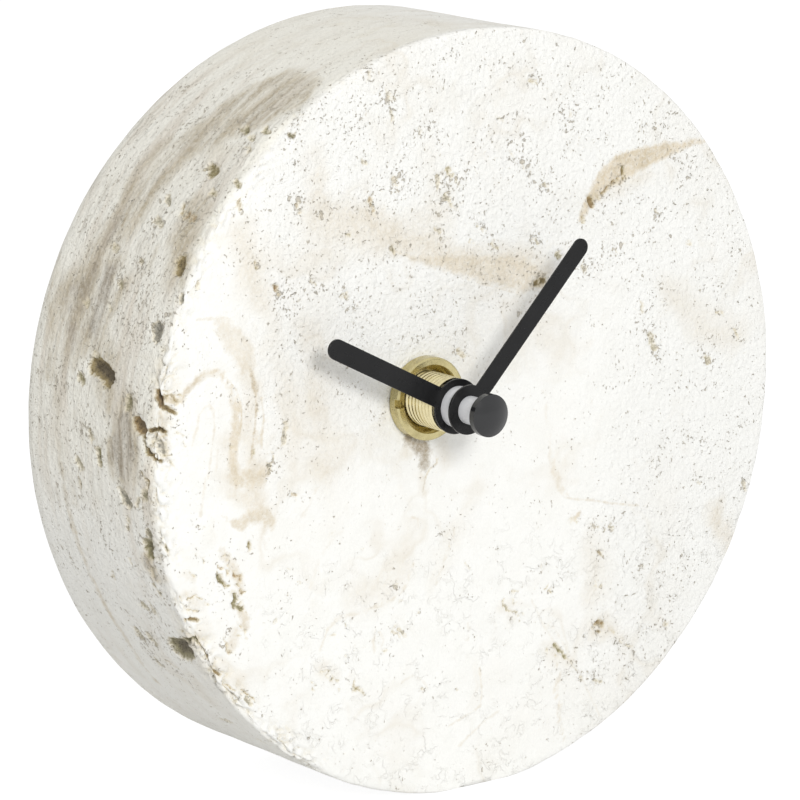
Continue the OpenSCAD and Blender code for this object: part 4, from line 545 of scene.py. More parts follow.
# Points along each stain or patch of painted shade with half its width there, then its strength and how soft
# its edge is
stains_and_painted_shade = [
    ([(42, 0, 35.2, 0.24), (39, 0, 34.9, 0.56), (34.1, 0, 34.4, 1.12), (29.7, 0, 33.7, 1.76),
      (25.8, 0, 32.7, 2.08), (23.2, 0, 31.3, 1.76), (21.4, 0, 29.6, 1.28), (19.7, 0, 28, 0.8),
      (18.8, 0, 26.1, 0.4)], 1, 0.42),
    ([(31.4, 0, 31.6, 0.96), (27, 0, 30.6, 1.28), (23.2, 0, 28.9, 1.12)], 0.3, 1.2),
    ([(-11.8, 0, 23.9, 0.32), (-7.6, 0, 22.9, 0.8), (-3.6, 0, 22, 1.28), (0.3, 0, 21.1, 1.76),
      (4.3, 0, 20.2, 2.08), (7.9, 0, 19.2, 2.24), (11.2, 0, 18.1, 1.44)], 0.72, 0.55),
    ([(-13.8, 0, 25.8, 0.8), (-8.5, 0, 24.7, 1.44), (-3.2, 0, 23.5, 1.6), (2.1, 0, 22.5, 1.76),
      (7.5, 0, 21.1, 1.92), (12.1, 0, 20.3, 1.28)], 0.45, 1.3),
    ([(-1.4, 0, 22.2, 0.16), (3.9, 0, 20.4, 0.16), (9.4, 0, 18.3, 0.19)], 1.15, 0.2),
    ([(-14.6, 0, 25.1, 0.16), (-8.5, 0, 23, 0.19), (-1.4, 0, 19.6, 0.16), (7.6, 0, 16.5, 0.16)], 0.5, 0.2),
    ([(36.7, 0, 12.5, 1.92), (42.4, 0, 8.8, 2.88), (47.7, 0, 5.2, 2.24)], 0.25, 2),
    ([(-27.8, 0, 32.6, 1.44), (-22.3, 0, 30.9, 1.76), (-15.1, 0, 28.5, 1.76)], 0.34, 1.6),
    ([(-28.9, 0, 41, 0.8), (-27.7, 0, 37.6, 1.28), (-28.8, 0, 34.4, 0.96)], 0.38, 1.2),
    ([(-41.1, 0, 31.6, 1.44), (-39.8, 0, 26.5, 2.08), (-37.2, 0, 21, 1.44)], 0.42, 2),
    ([(-30.8, 0, 32, 1.28), (-25.8, 0, 29.1, 1.92), (-18.9, 0, 27.2, 1.92), (-13.8, 0, 27.2, 1.6)], 0.3, 2),
    ([(-29.5, 0, 15.9, 1.28), (-27.9, 0, 5.9, 1.6), (-26.6, 0, -4.1, 1.6)], 0.28, 2),
    ([(-47.9, 0, 19.6, 0.16), (-45.5, 0, 19.4, 0.19), (-42.8, 0, 19.2, 0.16)], 0.55, 0.2),
    ([(-44.5, 0, 18.7, 0.8), (-43, 0, 17.3, 1.44), (-41.6, 0, 15.8, 1.92), (-40.3, 0, 14.2, 1.92),
      (-39.6, 0, 12.5, 1.44)], 0.5, 0.6),
    ([(-45.2, 0, 17.9, 0.13), (-43.5, 0, 16, 0.14), (-42.2, 0, 14.2, 0.14)], 0.7, 0.2),
    ([(-40.1, 0, 12.8, 1.44), (-39.3, 0, 9.5, 1.6), (-39, 0, 5.3, 1.44), (-39.1, 0, 0.5, 1.44),
      (-39.4, 0, -2.3, 1.28)], 0.3, 0.8),
    ([(-39.6, 0, 12.8, 0.16), (-39, 0, 11, 0.32), (-38.5, 0, 9.6, 0.48), (-38.3, 0, 8.6, 0.4)], 1.1, 0.25),
    ([(-38.3, 0, 8.2, 0.18), (-38.2, 0, 5.9, 0.18), (-38.5, 0, 3.4, 0.16), (-38.9, 0, 1.3, 0.16),
      (-39.1, 0, -0.7, 0.19)], 1.1, 0.2),
    ([(-37.3, 0, 7.5, 0.14), (-37, 0, 4.4, 0.14), (-37.4, 0, 2.4, 0.29), (-37.4, 0, 0.2, 0.14)], 0.75, 0.2),
    ([(-36.3, 0, 7, 0.13), (-36.5, 0, 2.9, 0.13), (-36.4, 0, -0.6, 0.13)], 0.35, 0.3),
    ([(-50.5, 0, 8.9, 0.32), (-49.5, 0, 10.2, 0.45), (-48.2, 0, 11.2, 0.54), (-46.9, 0, 11.9, 0.54),
      (-45.5, 0, 12.1, 0.58), (-44.2, 0, 11.7, 0.45), (-43.1, 0, 10.6, 0.35), (-42.3, 0, 9.1, 0.42),
      (-41.8, 0, 7.2, 0.51), (-41.7, 0, 5, 0.67), (-41.7, 0, 3, 0.8), (-42, 0, 1.4, 0.8),
      (-42.2, 0, 0.1, 0.8), (-42.1, 0, -1.6, 0.88), (-41.7, 0, -2.8, 0.96)], 0.82, 0.38),
    ([(-42.4, 0, 10.1, 0.13), (-41.3, 0, 8.8, 0.13), (-40.8, 0, 7.1, 0.14), (-40.7, 0, 5.5, 0.22),
      (-40.8, 0, 4, 0.14), (-41.2, 0, 2.1, 0.11)], 0.95, 0.2),
    ([(-48.9, 0, 2.4, 0.13), (-48.1, 0, 4.4, 0.18), (-47.6, 0, 6.5, 0.18), (-46.7, 0, 7.5, 0.16),
      (-45.9, 0, 7.6, 0.19), (-45.3, 0, 6.7, 0.18), (-45.1, 0, 4.6, 0.14), (-45.5, 0, 1.9, 0.14),
      (-45.9, 0, -0.3, 0.16), (-46.4, 0, -2.7, 0.14)], 0.5, 0.22),
    ([(-44.7, 0, 1, 0.13), (-44.9, 0, -1.5, 0.16)], 0.4, 0.25),
    ([(-46.7, 0, -2.4, 0.14), (-47.1, 0, -4.7, 0.18), (-47.6, 0, -7.5, 0.21)], 0.42, 0.25),
    ([(-42.2, 0, -2.7, 0.8), (-41.3, 0, -3.4, 1.12), (-39.4, 0, -3.4, 1.28), (-37.7, 0, -3.7, 1.28),
      (-36.6, 0, -3.3, 0.64)], 0.75, 0.6),
    ([(-42.1, 0, -4.4, 0.8), (-39.8, 0, -5.6, 1.28), (-37.8, 0, -6.5, 1.12),
      (-36.3, 0, -7.5, 0.8)], 0.4, 0.7),
    ([(-40.1, 0, -1.1, 0.64), (-38.1, 0, -1.9, 0.64)], 0.5, 0.8),
    ([(-44.1, 0, -7.8, 0.19), (-43.1, 0, -8.7, 0.29), (-42.1, 0, -9.4, 0.64),
      (-40.8, 0, -9.9, 0.8)], 0.75, 0.3),
    ([(-40.5, 0, -9.4, 0.8), (-39.1, 0, -8.8, 1.28), (-37.5, 0, -8.8, 1.28), (-36.1, 0, -9.7, 0.96),
      (-35.6, 0, -10.7, 0.48)], 0.75, 0.6),
    ([(-37.5, 0, -10.7, 0.4), (-36.8, 0, -12.5, 0.32), (-36.5, 0, -14.3, 0.19)], 0.45, 0.4),
    ([(-44.2, 0, -13.1, 0.48), (-43.2, 0, -14.3, 0.64), (-41.9, 0, -16.2, 0.8),
      (-41.1, 0, -18.9, 0.64)], 0.6, 0.5),
    ([(-41.3, 0, -22, 0.48), (-40.3, 0, -23, 0.64), (-40.3, 0, -24.4, 0.64)], 0.7, 0.4),
    ([(-42, 0, -24.7, 0.8), (-42.6, 0, -26.6, 0.8)], 0.6, 0.6),
    ([(-50.2, 0, -18.8, 0.8), (-49.2, 0, -20.7, 0.8), (-47.9, 0, -22.3, 0.64)], 0.4, 0.8),
    ([(-44.3, 0, -28.8, 0.8), (-42, 0, -31.5, 0.96)], 0.3, 1),
    ([(-43.3, 0, 2.4, 0.8), (-43.1, 0, -3.2, 0.96)], 0.3, 1.2),
    ([(-35.6, 0, 16.7, 1.44), (-33.6, 0, 8.1, 1.92), (-32.3, 0, 0.9, 1.92),
      (-31, 0, -3.5, 1.44)], 0.26, 1.8),
    ([(-27.5, 0, 15.7, 1.6), (-25.9, 0, 5.7, 1.92), (-23.3, 0, -1.8, 1.6)], 0.2, 2.2),
    ([(-53.2, 0, 9.4, 0.64), (-51.8, 0, 9, 0.64)], 0.75, 0.3),
    ([(-54.1, 0, 7.6, 0.64), (-53.6, 0, 6.6, 0.72), (-53.8, 0, 5.5, 0.64)], 0.7, 0.35),
    ([(-54.8, 0, 4.4, 0.48), (-53.8, 0, 4.2, 0.4)], 0.8, 0.3),
    ([(-50.1, 0, -15.3, 0.48), (-48.8, 0, -16.3, 0.48)], 0.5, 0.6),
    ([(-26.4, 0, -4.2, 0.19), (-28, 0, -6.5, 0.18), (-29.7, 0, -8.9, 0.22),
      (-30.5, 0, -10.2, 0.29)], 0.45, 0.3),
    ([(-22.1, 0, -12.5, 0.16), (-24.6, 0, -13.7, 0.16), (-26.8, 0, -15.5, 0.18),
      (-28.4, 0, -18.1, 0.18), (-29.4, 0, -21.1, 0.16)], 0.32, 0.35),
    ([(-22.2, 0, -23.4, 1.28), (-17.3, 0, -22.4, 1.92), (-13.4, 0, -19.9, 1.92),
      (-12.3, 0, -16.3, 1.28)], 0.2, 1.5),
    ([(-11.3, 0, -19.6, 0.16), (-12.5, 0, -22.8, 0.18), (-14.8, 0, -24.6, 0.19), (-19, 0, -25.3, 0.22),
      (-22.5, 0, -25.5, 0.29), (-24.6, 0, -25.7, 0.32)], 0.5, 0.3),
    ([(-24.9, 0, -26, 0.16), (-26.3, 0, -26.9, 0.16), (-27, 0, -28.4, 0.18),
      (-27.7, 0, -29.8, 0.16)], 0.5, 0.25),
    ([(-1.5, 0, -11.8, 0.64), (-2.7, 0, -14.8, 0.8), (-4.5, 0, -18.2, 0.8), (-6.6, 0, -21.5, 0.8),
      (-8.4, 0, -24.5, 0.64)], 0.2, 1.2),
    ([(-4, 0, -16.1, 0.16), (-4.9, 0, -18.6, 0.19), (-6.1, 0, -21, 0.16),
      (-7.4, 0, -23.5, 0.18)], 0.42, 0.3),
    ([(-27.7, 0, -33.1, 0.8), (-25, 0, -34.8, 0.64)], 0.35, 0.8),
    ([(-18, 0, -28.4, 0.16), (-18.5, 0, -30.1, 0.24), (-18.2, 0, -31.6, 0.16)], 0.5, 0.3),
    ([(-17.3, 0, -28.8, 0.13), (-16.6, 0, -30.1, 0.13), (-17.1, 0, -31.2, 0.13)], 0.4, 0.25),
    ([(-21.5, 0, -36, 0.8), (-19.8, 0, -37.1, 0.64)], 0.4, 0.7),
    ([(12.1, 0, 2, 0.16), (12.9, 0, -3.9, 0.24), (13.3, 0, -7.2, 0.35), (14.2, 0, -10.3, 0.56),
      (15.2, 0, -12.6, 0.64), (16.3, 0, -13.8, 0.32)], 0.42, 0.35),
    ([(16.3, 0, -14.4, 0.14), (18.9, 0, -15.1, 0.14), (21.2, 0, -15.5, 0.16), (25.7, 0, -16.7, 0.14),
      (30.3, 0, -17.7, 0.13)], 0.6, 0.2),
    ([(18, 0, -17.8, 0.32), (18.8, 0, -17.2, 0.35)], 0.75, 0.3),
    ([(21.3, 0, -22.6, 1.28), (22.8, 0, -26.5, 1.76), (22.9, 0, -30.7, 1.28)], 0.28, 2),
    ([(44.3, 0, -20.7, 0.96), (46.3, 0, -23, 1.44), (48, 0, -26.3, 0.8)], 0.45, 1),
    ([(14.7, 0, -39, 0.19), (15.5, 0, -40.9, 0.29), (14.5, 0, -42.9, 0.32), (15.5, 0, -45.2, 0.32),
      (15.3, 0, -47.2, 0.32), (16.3, 0, -50.5, 0.26)], 0.62, 0.4),
    ([(13.5, 0, -32.2, 0.11), (18.5, 0, -39.9, 0.13), (23.1, 0, -48.3, 0.13)], 0.3, 0.25),
    ([(0.6, 0, -37.2, 0.19), (1, 0, -40.5, 0.16), (0.8, 0, -42.9, 0.16), (-1.9, 0, -43.9, 0.16),
      (-5.1, 0, -44.9, 0.18)], 0.5, 0.22),
    ([(4.3, 0, -44.2, 0.18), (1.4, 0, -45.3, 0.18), (-3, 0, -48.1, 0.16)], 0.42, 0.22),
    ([(-13.4, 0, -36.8, 0.16), (-11.6, 0, -36.2, 0.14), (-10.2, 0, -36.8, 0.14),
      (-8.8, 0, -38.5, 0.13)], 0.32, 0.25),
    ([(10.1, 0, -28.6, 0.13), (12, 0, -32.2, 0.14), (14.3, 0, -35.6, 0.13)], 0.35, 0.25),
    ([(-1.6, 0, -30, 0.18), (-1.2, 0, -31.5, 0.22), (-1.7, 0, -32.9, 0.13)], 0.4, 0.3),
    # Painted shade: a dark patch just below the nut, where the nut and the parts in front of it shade the
    # face
    ([(-12.5, 0, -1.6, 0.8), (-10.1, 0, -2.9, 1.44), (-9.4, 0, -4.6, 1.12),
      (-9.5, 0, -6.6, 0.48)], 1.45, 0.68),
    # Painted shade: a soft wash along the nut's left side
    ([(-14.1, 0, 5.2, 0.32), (-13.8, 0, 2.3, 0.48), (-13.2, 0, -0.6, 0.48)], 0.55, 1.3),
    ([(-13.1, 0, -2.6, 0.48), (-13.4, 0, -4, 0.32)], 0.6, 1),
    ([(-6.3, 0, -4.2, 0.64), (-5.3, 0, -6.3, 0.48)], 0.4, 1.4),
    ([(-7, 0, -5.8, 0.11), (-8.3, 0, -6.5, 0.14), (-9.3, 0, -7.9, 0.13), (-9.7, 0, -9.7, 0.11)], 1.2, 0.2),
    ([(-11.1, 0, -7.5, 0.48), (-10.8, 0, -9.3, 0.32)], 0.5, 0.8),
    ([(-11.6, 0, -13.1, 0.13), (-10.6, 0, -13.5, 0.13), (-10.4, 0, -14.8, 0.13)], 0.45, 0.22),
    ([(-25.9, 0, -1.4, 0.8), (-24.9, 0, -7.2, 0.96), (-25.9, 0, -12.8, 0.8)], 0.14, 2),
    ([(-6.8, 0, 29.3, 2.24), (-12, 0, 27.9, 1.6)], 0.25, 2),
    ([(5.2, 0, -28.7, 0.96), (6.8, 0, -29.9, 0.8)], 0.25, 0.8),
    ([(13.2, 0, -36.3, 0.96), (15.8, 0, -39.2, 0.8)], 0.3, 0.8),
    ([(22.6, 0, -34.9, 0.96), (27.9, 0, -38.4, 0.8)], 0.4, 0.9),
    ([(-25.7, 6.9, 48.6, 2.69), (-28.9, 6.2, 46.8, 3.81), (-32.1, 7.9, 44.7, 2.91),
      (-34.1, 12.6, 43.2, 1.79)], 0.62, 1.2),
    ([(-24.2, 11.2, 49.4, 1.79), (-27.7, 13.1, 47.5, 2.24), (-31.7, 14.5, 45, 2.02)], 0.6, 1),
    ([(-46.1, 21, 30, 1.79), (-49.6, 22.8, 23.7, 2.69), (-52.2, 23.6, 17.4, 2.91),
      (-53.8, 24.2, 11.3, 2.02)], 0.75, 2.6),
    ([(-50.3, 19.8, 22.3, 0.67), (-52.4, 20.8, 16.8, 0.67), (-53.5, 20.7, 12.7, 0.45)], 0.8, 0.9),
    ([(-33.2, 11.4, 43.8, 2.24), (-38.4, 17.5, 39.4, 2.69), (-43.4, 19.9, 33.7, 2.46),
      (-47.8, 22.4, 27.2, 2.24), (-51.6, 23.4, 19.1, 1.79)], 0.6, 1.5),
    ([(-48.5, 10.2, 26, 0.45), (-50.5, 14.5, 21.7, 0.67), (-52.6, 16.5, 16.1, 0.56)], 0.8, 0.8),
    ([(-50.9, 29, 20.9, 0.67), (-53.1, 28.3, 14.3, 0.67), (-54.5, 27.9, 7.4, 0.45)], 0.6, 1),
    ([(-43.9, 5.3, 33.1, 2.24), (-46.7, 4.7, 29.1, 3.14), (-48.3, 3.9, 26.4, 2.24)], 0.5, 1.5),
    ([(-54.7, 7.7, 5.4, 2.46), (-55, 7.4, 2.1, 3.81), (-55, 7, -0.8, 3.14)], 0.8, 1.6),
    ([(-53.5, 3.7, -12.9, 1.57), (-52.8, 2.5, -15.3, 1.34)], 0.7, 0.9),
    ([(-49.1, 18.6, 24.8, 1.79), (-50.8, 18.6, 21.1, 2.02), (-52.3, 18.9, 17.1, 1.79)], 1, 1.2),
    ([(-52.6, 17.4, 16, 1.79), (-53.9, 13.7, 11.2, 3.14), (-54.5, 12.8, 7.2, 1.79)], 0.5, 1.5),
    ([(-54.9, 23.5, -3.4, 0.45), (-53.4, 22.5, -13.1, 0.56), (-50.3, 21.5, -22.3, 0.56),
      (-46.3, 20.6, -29.7, 0.56), (-40.4, 21.4, -37.3, 0.45)], 0.7, 0.4),
    ([(-54.5, 25.9, 7.8, 1.34), (-55, 23.3, -0.2, 1.12), (-54.3, 22.6, -8.7, 0.9)], 0.35, 1.2),
    ([(-39, 22.5, 38.8, 0.9), (-46.7, 22.5, 29, 1.12), (-53, 24.4, 14.9, 1.12)], 0.6, 0.8),
    ([(-52.8, 0, 7.9, 1.12), (-53.8, 0, 5.3, 1.12), (-53.2, 0, 1.6, 0.96)], 0.4, 0.6),
    ([(-48.9, 2.5, -25.2, 2.02), (-48.1, 0.8, -26.7, 0.96)], 0.4, 1),
]


def on_skin(angle, depth, radius=None):
    radius = drum_r if radius is None else radius
    return (radius * cos(radians(angle)), depth, radius * sin(radians(angle)))


chance = random.Random(11)
side_hollows, side_stains, back_hollows = 70, 16, 34
for _ in range(side_hollows):
    angle, depth, size = chance.uniform(-88, 66), chance.uniform(1.5, 29), chance.uniform(0.3, 0.8)
    end = on_skin(angle + chance.uniform(0.4, 2.2), depth + chance.uniform(-0.4, 0.4))
    hollows.append(([on_skin(angle, depth), end], size, size * 0.8, chance.random()))
for _ in range(side_stains):
    angle, depth = chance.uniform(-85, 60), chance.uniform(4, 26)
    middle = on_skin(angle + chance.uniform(6, 14), depth + chance.uniform(-2, 2))
    end = on_skin(angle + chance.uniform(16, 24), depth + chance.uniform(-3, 3))
    stains_and_painted_shade.append(([(*on_skin(angle, depth), 1.2), (*middle, 2.4), (*end, 1.0)], 0.5, 1.2))
for _ in range(back_hollows):
    angle, reach, size = chance.uniform(0, 360), chance.uniform(44, 49), chance.uniform(0.25, 0.6)
    spot = on_skin(angle, back_y - face_y, reach)
    end = (spot[0] + chance.uniform(-0.6, 0.6), spot[1], spot[2] + chance.uniform(0.1, 0.8))
    hollows.append(([spot, end], size, size * 0.7, chance.random()))
print("hollows:", len(hollows), "crevices:", len(crevices), "stains:", len(stains_and_painted_shade))

# %% [markdown]
# ## Stone drum: the blank
#
# A disc of even squares holds small relief better than a fan of triangles, so the face starts as
# a square grid whose points move onto a disc. Its rim is then extruded ring by ring: over the
# small front rounding, along the side, over the larger back rounding, to the edge of the pocket,
# down the pocket's walls and across its floor to the tube's hole. Squares near a hollow or a
# crevice are split later, so that only they cost many faces.

# %% Stone drum blank
case_low, case_high = (Vector(corner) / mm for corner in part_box("movement_case"))
pocket_gap, upper_r, lower_r = 0.5, 6.5, 2.5


def pocket_edge(angle):
    """Distance from the hand shaft to the pocket's wall, in one direction."""
    c, s = cos(angle), sin(angle)
    right = case_high.x - shaft_x + pocket_gap
    top, foot = case_high.z - shaft_z + pocket_gap, shaft_z - case_low.z + pocket_gap
    reach = min(right / max(abs(c), 1e-6), (top if s > 0 else foot) / max(abs(s), 1e-6))
    corner_r = upper_r if s > 0 else lower_r
    corner = Vector((right - corner_r, (top if s > 0 else foot) - corner_r))
    d = Vector((abs(c), abs(s)))
    if d.x * reach > corner.x and d.y * reach > corner.y:
        along = d.dot(corner)
        reach = along + sqrt(corner_r ** 2 - (corner.length_squared - along ** 2))
    return reach


def rim_of(mesh):
    return [edge for edge in mesh.edges if edge.is_boundary]


def pull_ring(mesh, rim, place):
    """Extrudes a rim of edges and puts each new point where place says."""
    made = bmesh.ops.extrude_edge_only(mesh, edges=rim)["geom"]
    for point in (item for item in made if isinstance(item, bmesh.types.BMVert)):
        point.co = place(point.co)
    return [item for item in made if isinstance(item, bmesh.types.BMEdge)]


def at_radius(radius, y):
    def place(co):
        share = radius / hypot(co.x, co.z)
        return Vector((co.x * share, y, co.z * share))
    return place


def from_shaft(y, reach_of):
    """Slides a point along its line from the hand shaft to the distance that reach_of gives."""
    def place(co):
        out = Vector((co.x - shaft_x, 0, co.z - (shaft_z - drum_z)))
        out *= reach_of(atan2(out.z, out.x), out.length) / out.length
        return Vector((shaft_x + out.x, y, shaft_z - drum_z + out.z))
    return place


front_edge_r, back_edge_r, hole_r = 0.5, 5.0, 4.2
squares, front_rings, side_rings, back_rings, wall_rings = 130, 3, 34, 8, 4
pocket_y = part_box("rubber_washer")[0][1] / mm

blank = bmesh.new()
bmesh.ops.create_grid(blank, x_segments=squares, y_segments=squares, size=1)
for point in blank.verts:
    u, v = point.co.x, point.co.y
    point.co = Vector((u * sqrt(1 - v * v / 2), 0, v * sqrt(1 - u * u / 2))) * (drum_r - front_edge_r)
    point.co.y = face_y
rim = rim_of(blank)
for step in range(1, front_rings + 1):
    turn = radians(90) * step / front_rings
    rim = pull_ring(blank, rim, at_radius(drum_r - front_edge_r * (1 - sin(turn)),
                                          face_y + front_edge_r * (1 - cos(turn))))
side_start, side_end = face_y + front_edge_r, back_y - back_edge_r
for step in range(1, side_rings + 1):
    rim = pull_ring(blank, rim, at_radius(drum_r, side_start + (side_end - side_start) * step / side_rings))
for step in range(1, back_rings + 1):
    turn = radians(90) * step / back_rings
    rim = pull_ring(blank, rim, at_radius(drum_r - back_edge_r * (1 - cos(turn)),
                                          side_end + back_edge_r * sin(turn)))
print("blank up to the back edge:", len(blank.faces), "faces")

# %% [markdown]
# The pocket's outline is not a circle, so each point of the ring slides towards the pocket along
# its own line from the hand shaft, which keeps the lines from crossing.

# %% Back face, pocket and tube hole
def to_pocket(angle, now):
    return now + (pocket_edge(angle) - now) * share


def to_hole(angle, now):
    return now + (hole_r - now) * share


for share in (1 / 5, 1 / 4, 1 / 3, 1 / 2, 1):
    rim = pull_ring(blank, rim, from_shaft(back_y, to_pocket))
for step in range(1, wall_rings + 1):
    rim = pull_ring(blank, rim, from_shaft(back_y + (pocket_y - back_y) * step / wall_rings, to_pocket))
for share in (1 / 4, 1 / 3, 1 / 2, 1):
    rim = pull_ring(blank, rim, from_shaft(pocket_y, to_hole))
rim = pull_ring(blank, rim, from_shaft(face_y + 1.0, to_hole))
under_nut_r = 4.9
under_nut = [point for point in blank.verts if point.co.y < face_y + 0.01
             and hypot(point.co.x - shaft_x, point.co.z - (shaft_z - drum_z)) < under_nut_r]
bmesh.ops.delete(blank, geom=under_nut, context="VERTS")
bmesh.ops.bridge_loops(blank, edges=rim_of(blank))
bmesh.ops.recalc_face_normals(blank, faces=blank.faces)
print("blank with its pocket:", len(blank.faces), "faces,", len(rim_of(blank)), "open edges")

# %% [markdown]
# ## Stone drum: relief
#
# Relief only goes inwards, so the stone never grows past its solid. A hollow is as deep as a bowl
# round its line, and its walls are made uneven by moving each point by noise before its distance
# is measured. The left of the front rim is worn and crumbled, its upper left is rubbed round, and
# the whole skin is slightly wavy, as a casting is. All distances are found with numpy at once.
#
# Stains with a soft edge are washes, which lie over one another as thin layers of paint do. Of the
# others, each point keeps the one that it lies deepest in.

# %% Distances to hollows, crevices and stains
noise.seed_set(3)  # without a seed, noise vectors differ from run to run


def places_of(items):
    """Points as rows of x, depth behind the face and height above the axis."""
    rows = np.array([item.co[:] for item in items])
    rows[:, 1] -= face_y
    return rows


def reach_into(rows, line, half=None):
    """How far rows lie inside a line's width: positive inside, negative outside."""
    best = np.full(len(rows), -30.0)
    ends = [(np.array(point[:3]), half if half is not None else point[3]) for point in line]
    for (a, a_half), (b, b_half) in zip(ends, ends[1:]):
        along = np.clip((rows - a) @ (b - a) / max((b - a) @ (b - a), 1e-9), 0, 1)
        away = np.linalg.norm(rows - a - along[:, None] * (b - a), axis=1)
        best = np.maximum(best, a_half + (b_half - a_half) * along - away)
    return best


def shaken(rows, reach, size):
    """The rows, each moved by smooth noise of one size, the same at every run."""
    moved = [noise.noise_vector(Vector(row) / size) for row in rows]
    return rows + np.array([item[:] for item in moved]) * reach


def waves(rows, size):
    return np.array([noise.noise(Vector(row) / size) for row in rows])


def turn_from(rows, angle):
    """Degrees between each row's place round the axis and one angle."""
    return np.abs((np.degrees(np.arctan2(rows[:, 2], rows[:, 0])) - angle + 180) % 360 - 180)


def from_rim(rows):
    return np.hypot(drum_r - np.hypot(rows[:, 0], rows[:, 2]), rows[:, 1])


# %% Split the squares near a hollow, a crevice or the crumbled rim
crisp, wash_from = 0.27, 0.7  # how soft a thin dark line is at most, and a wash at least
for shortest in (0.45, 0.25):
    edges = blank.edges[:]
    first, second = (places_of([edge.verts[end] for edge in edges]) for end in (0, 1))
    middles = (first + second) / 2
    wanted = np.zeros(len(edges), bool)
    for line, half, *_ in hollows + crevices:
        wanted |= reach_into(middles, line, half) > -0.4
    for line, strength, soft in stains_and_painted_shade:
        if soft < crisp:
            wanted |= reach_into(middles, line) > -0.3
    if shortest > 0.3:
        wanted |= (from_rim(middles) < 2.8) & (turn_from(middles, 183) < 64)
    close = [edge for edge, near in zip(edges, wanted) if near and edge.calc_length() > shortest]
    bmesh.ops.subdivide_edges(blank, edges=close, cuts=1, use_grid_fill=True)
print("blank with fine squares:", len(blank.faces), "faces")

# %% The skin, and the front rim worn round
carried_names = ("hollow", "near_hollow", "tone", "grainy", "crinkled", "on_side", "side_share",
                 "wash", "stain_and_shade_reach", "stain_and_shade_strength", "stain_and_shade_soft")
layers = {name: blank.verts.layers.float.new(name) for name in carried_names}
skin = [point for point in blank.verts if point.co.y < face_y + 0.7 or point.co.y > back_y - 0.01
        or hypot(point.co.x, point.co.z) > drum_r - 5.1]
rows = places_of(skin)


def bump_at(angle, width):
    return np.exp(-(turn_from(rows, angle) / width) ** 2)


round_r = front_edge_r + 2.1 * bump_at(178, 11) + (1.9 + 2.2 * waves(rows + 2, 5.0)) * bump_at(138, 26)
round_r = np.maximum(round_r + (0.7 + 1.4 * waves(rows + 7, 3.0)) * bump_at(215, 30), front_edge_r)
inwards = drum_r - np.hypot(rows[:, 0], rows[:, 2])
away = np.hypot(round_r - rows[:, 1], round_r - inwards)
worn = (rows[:, 1] < round_r) & (inwards < round_r) & (away > round_r)
for index in np.flatnonzero(worn):
    point, radius, part = skin[index], round_r[index], round_r[index] / away[index]
    squeeze = (drum_r - radius - (inwards[index] - radius) * part) / (drum_r - inwards[index])
    depth = radius + (rows[index, 1] - radius) * part
    point.co = Vector((point.co.x * squeeze, face_y + depth, point.co.z * squeeze))
blank.normal_update()
print("worn points on the rim:", int(worn.sum()), "largest rounding %.2f mm" % round_r.max())

# %% Push the relief in and write the attributes
rough_rows, calm_rows = shaken(shaken(rows, 0.42, 1.1), 0.25, 0.5), shaken(rows, 0.22, 0.9)
cut_in, tone, nearest = np.zeros(len(rows)), np.zeros(len(rows)), np.full(len(rows), -9.0)
for line, half, depth, *rest in hollows + crevices:
    inside = reach_into(rough_rows if rest else calm_rows, line, half)
    nearest = np.maximum(nearest, inside)
    here = depth * np.clip(inside / half, 0, 1) ** 0.65
    tone = np.where(here > cut_in, rest[0] if rest else 0.75, tone)
    cut_in = np.maximum(cut_in, here)

edge_gap = from_rim(rows)
left = np.clip(1 - (turn_from(rows, 198) - 32) / 16, 0, 1)
upper_left = np.clip(1 - (turn_from(rows, 143) - 22) / 12, 0, 1)
broken = np.maximum(left, 0.45 * upper_left)
cracks = np.clip(1 - 5 * np.abs(waves(shaken(rows, 0.4, 1.0), 1.9)), 0, 1)
crumbs = np.clip(waves(rows + 9, 2.2) + 0.7 * waves(rows + 4, 1.0), 0, 1)
patchy = broken * np.clip(waves(rows, 6) * 1.6 + 0.75, 0.15, 1) * np.clip(1.3 - edge_gap / 3.0, 0, 1)
wear = patchy * (0.7 * cracks + 1.0 * crumbs)
wear += 0.12 * np.clip(waves(rows, 2.4) + 0.2, 0, 1) * np.clip(1 - edge_gap / 1.2, 0, 1)
wave = np.clip(0.09 * (waves(rows, 14) + 0.6) + 0.05 * (waves(rows + 5, 4) + 0.6), 0, None)

on_face = rows[:, 1] < 0.6
high = np.clip((rows[:, 2] + 4 - 0.25 * rows[:, 0]) / 22, 0, 1)
right = np.clip((rows[:, 0] - 14) / 16, 0, 1)
grainy = np.where(on_face, np.maximum(high * np.clip((rows[:, 0] + 46) / 12, 0.25, 1), 0.85 * right),
                  0.55 + 0.45 * np.clip(1 - (turn_from(rows, 168) - 34) / 20, 0, 1))
low_and_right = np.clip((-10 - rows[:, 2]) / 14, 0, 1) * np.clip((rows[:, 0] + 44) / 10, 0.2, 1)
crinkled = np.where(on_face, low_and_right, 0.15)
streaked = 0.22 + 0.78 * np.clip(1 - (turn_from(rows, 154) - 30) / 14, 0, 1)
side_share = np.clip((rows[:, 1] - 0.3) / 1.2, 0, 1) * streaked

no_stain = -8.0
wash, stain_and_shade_reach = np.zeros(len(rows)), np.full(len(rows), no_stain)
stain_and_shade_strength, stain_and_shade_soft = np.zeros(len(rows)), np.ones(len(rows))
drifting = shaken(shaken(rows, 2.4, 7.0), 0.9, 1.8)
wash_share = np.where(on_face, 1.25, 1.9)
for line, strength, soft in stains_and_painted_shade:
    if soft >= wash_from:
        amount = wash_share * strength * np.clip((reach_into(drifting, line) / soft + 1.0) / 1.8, 0, 1)
        wash += amount - np.minimum(wash, 1) * np.minimum(amount, 1)
        continue
    inside = reach_into(rows, line)
    better = inside / soft > stain_and_shade_reach / stain_and_shade_soft
    stain_and_shade_reach = np.where(better, inside, stain_and_shade_reach)
    stain_and_shade_soft = np.where(better, soft, stain_and_shade_soft)
    stain_and_shade_strength = np.where(better, strength, stain_and_shade_strength)

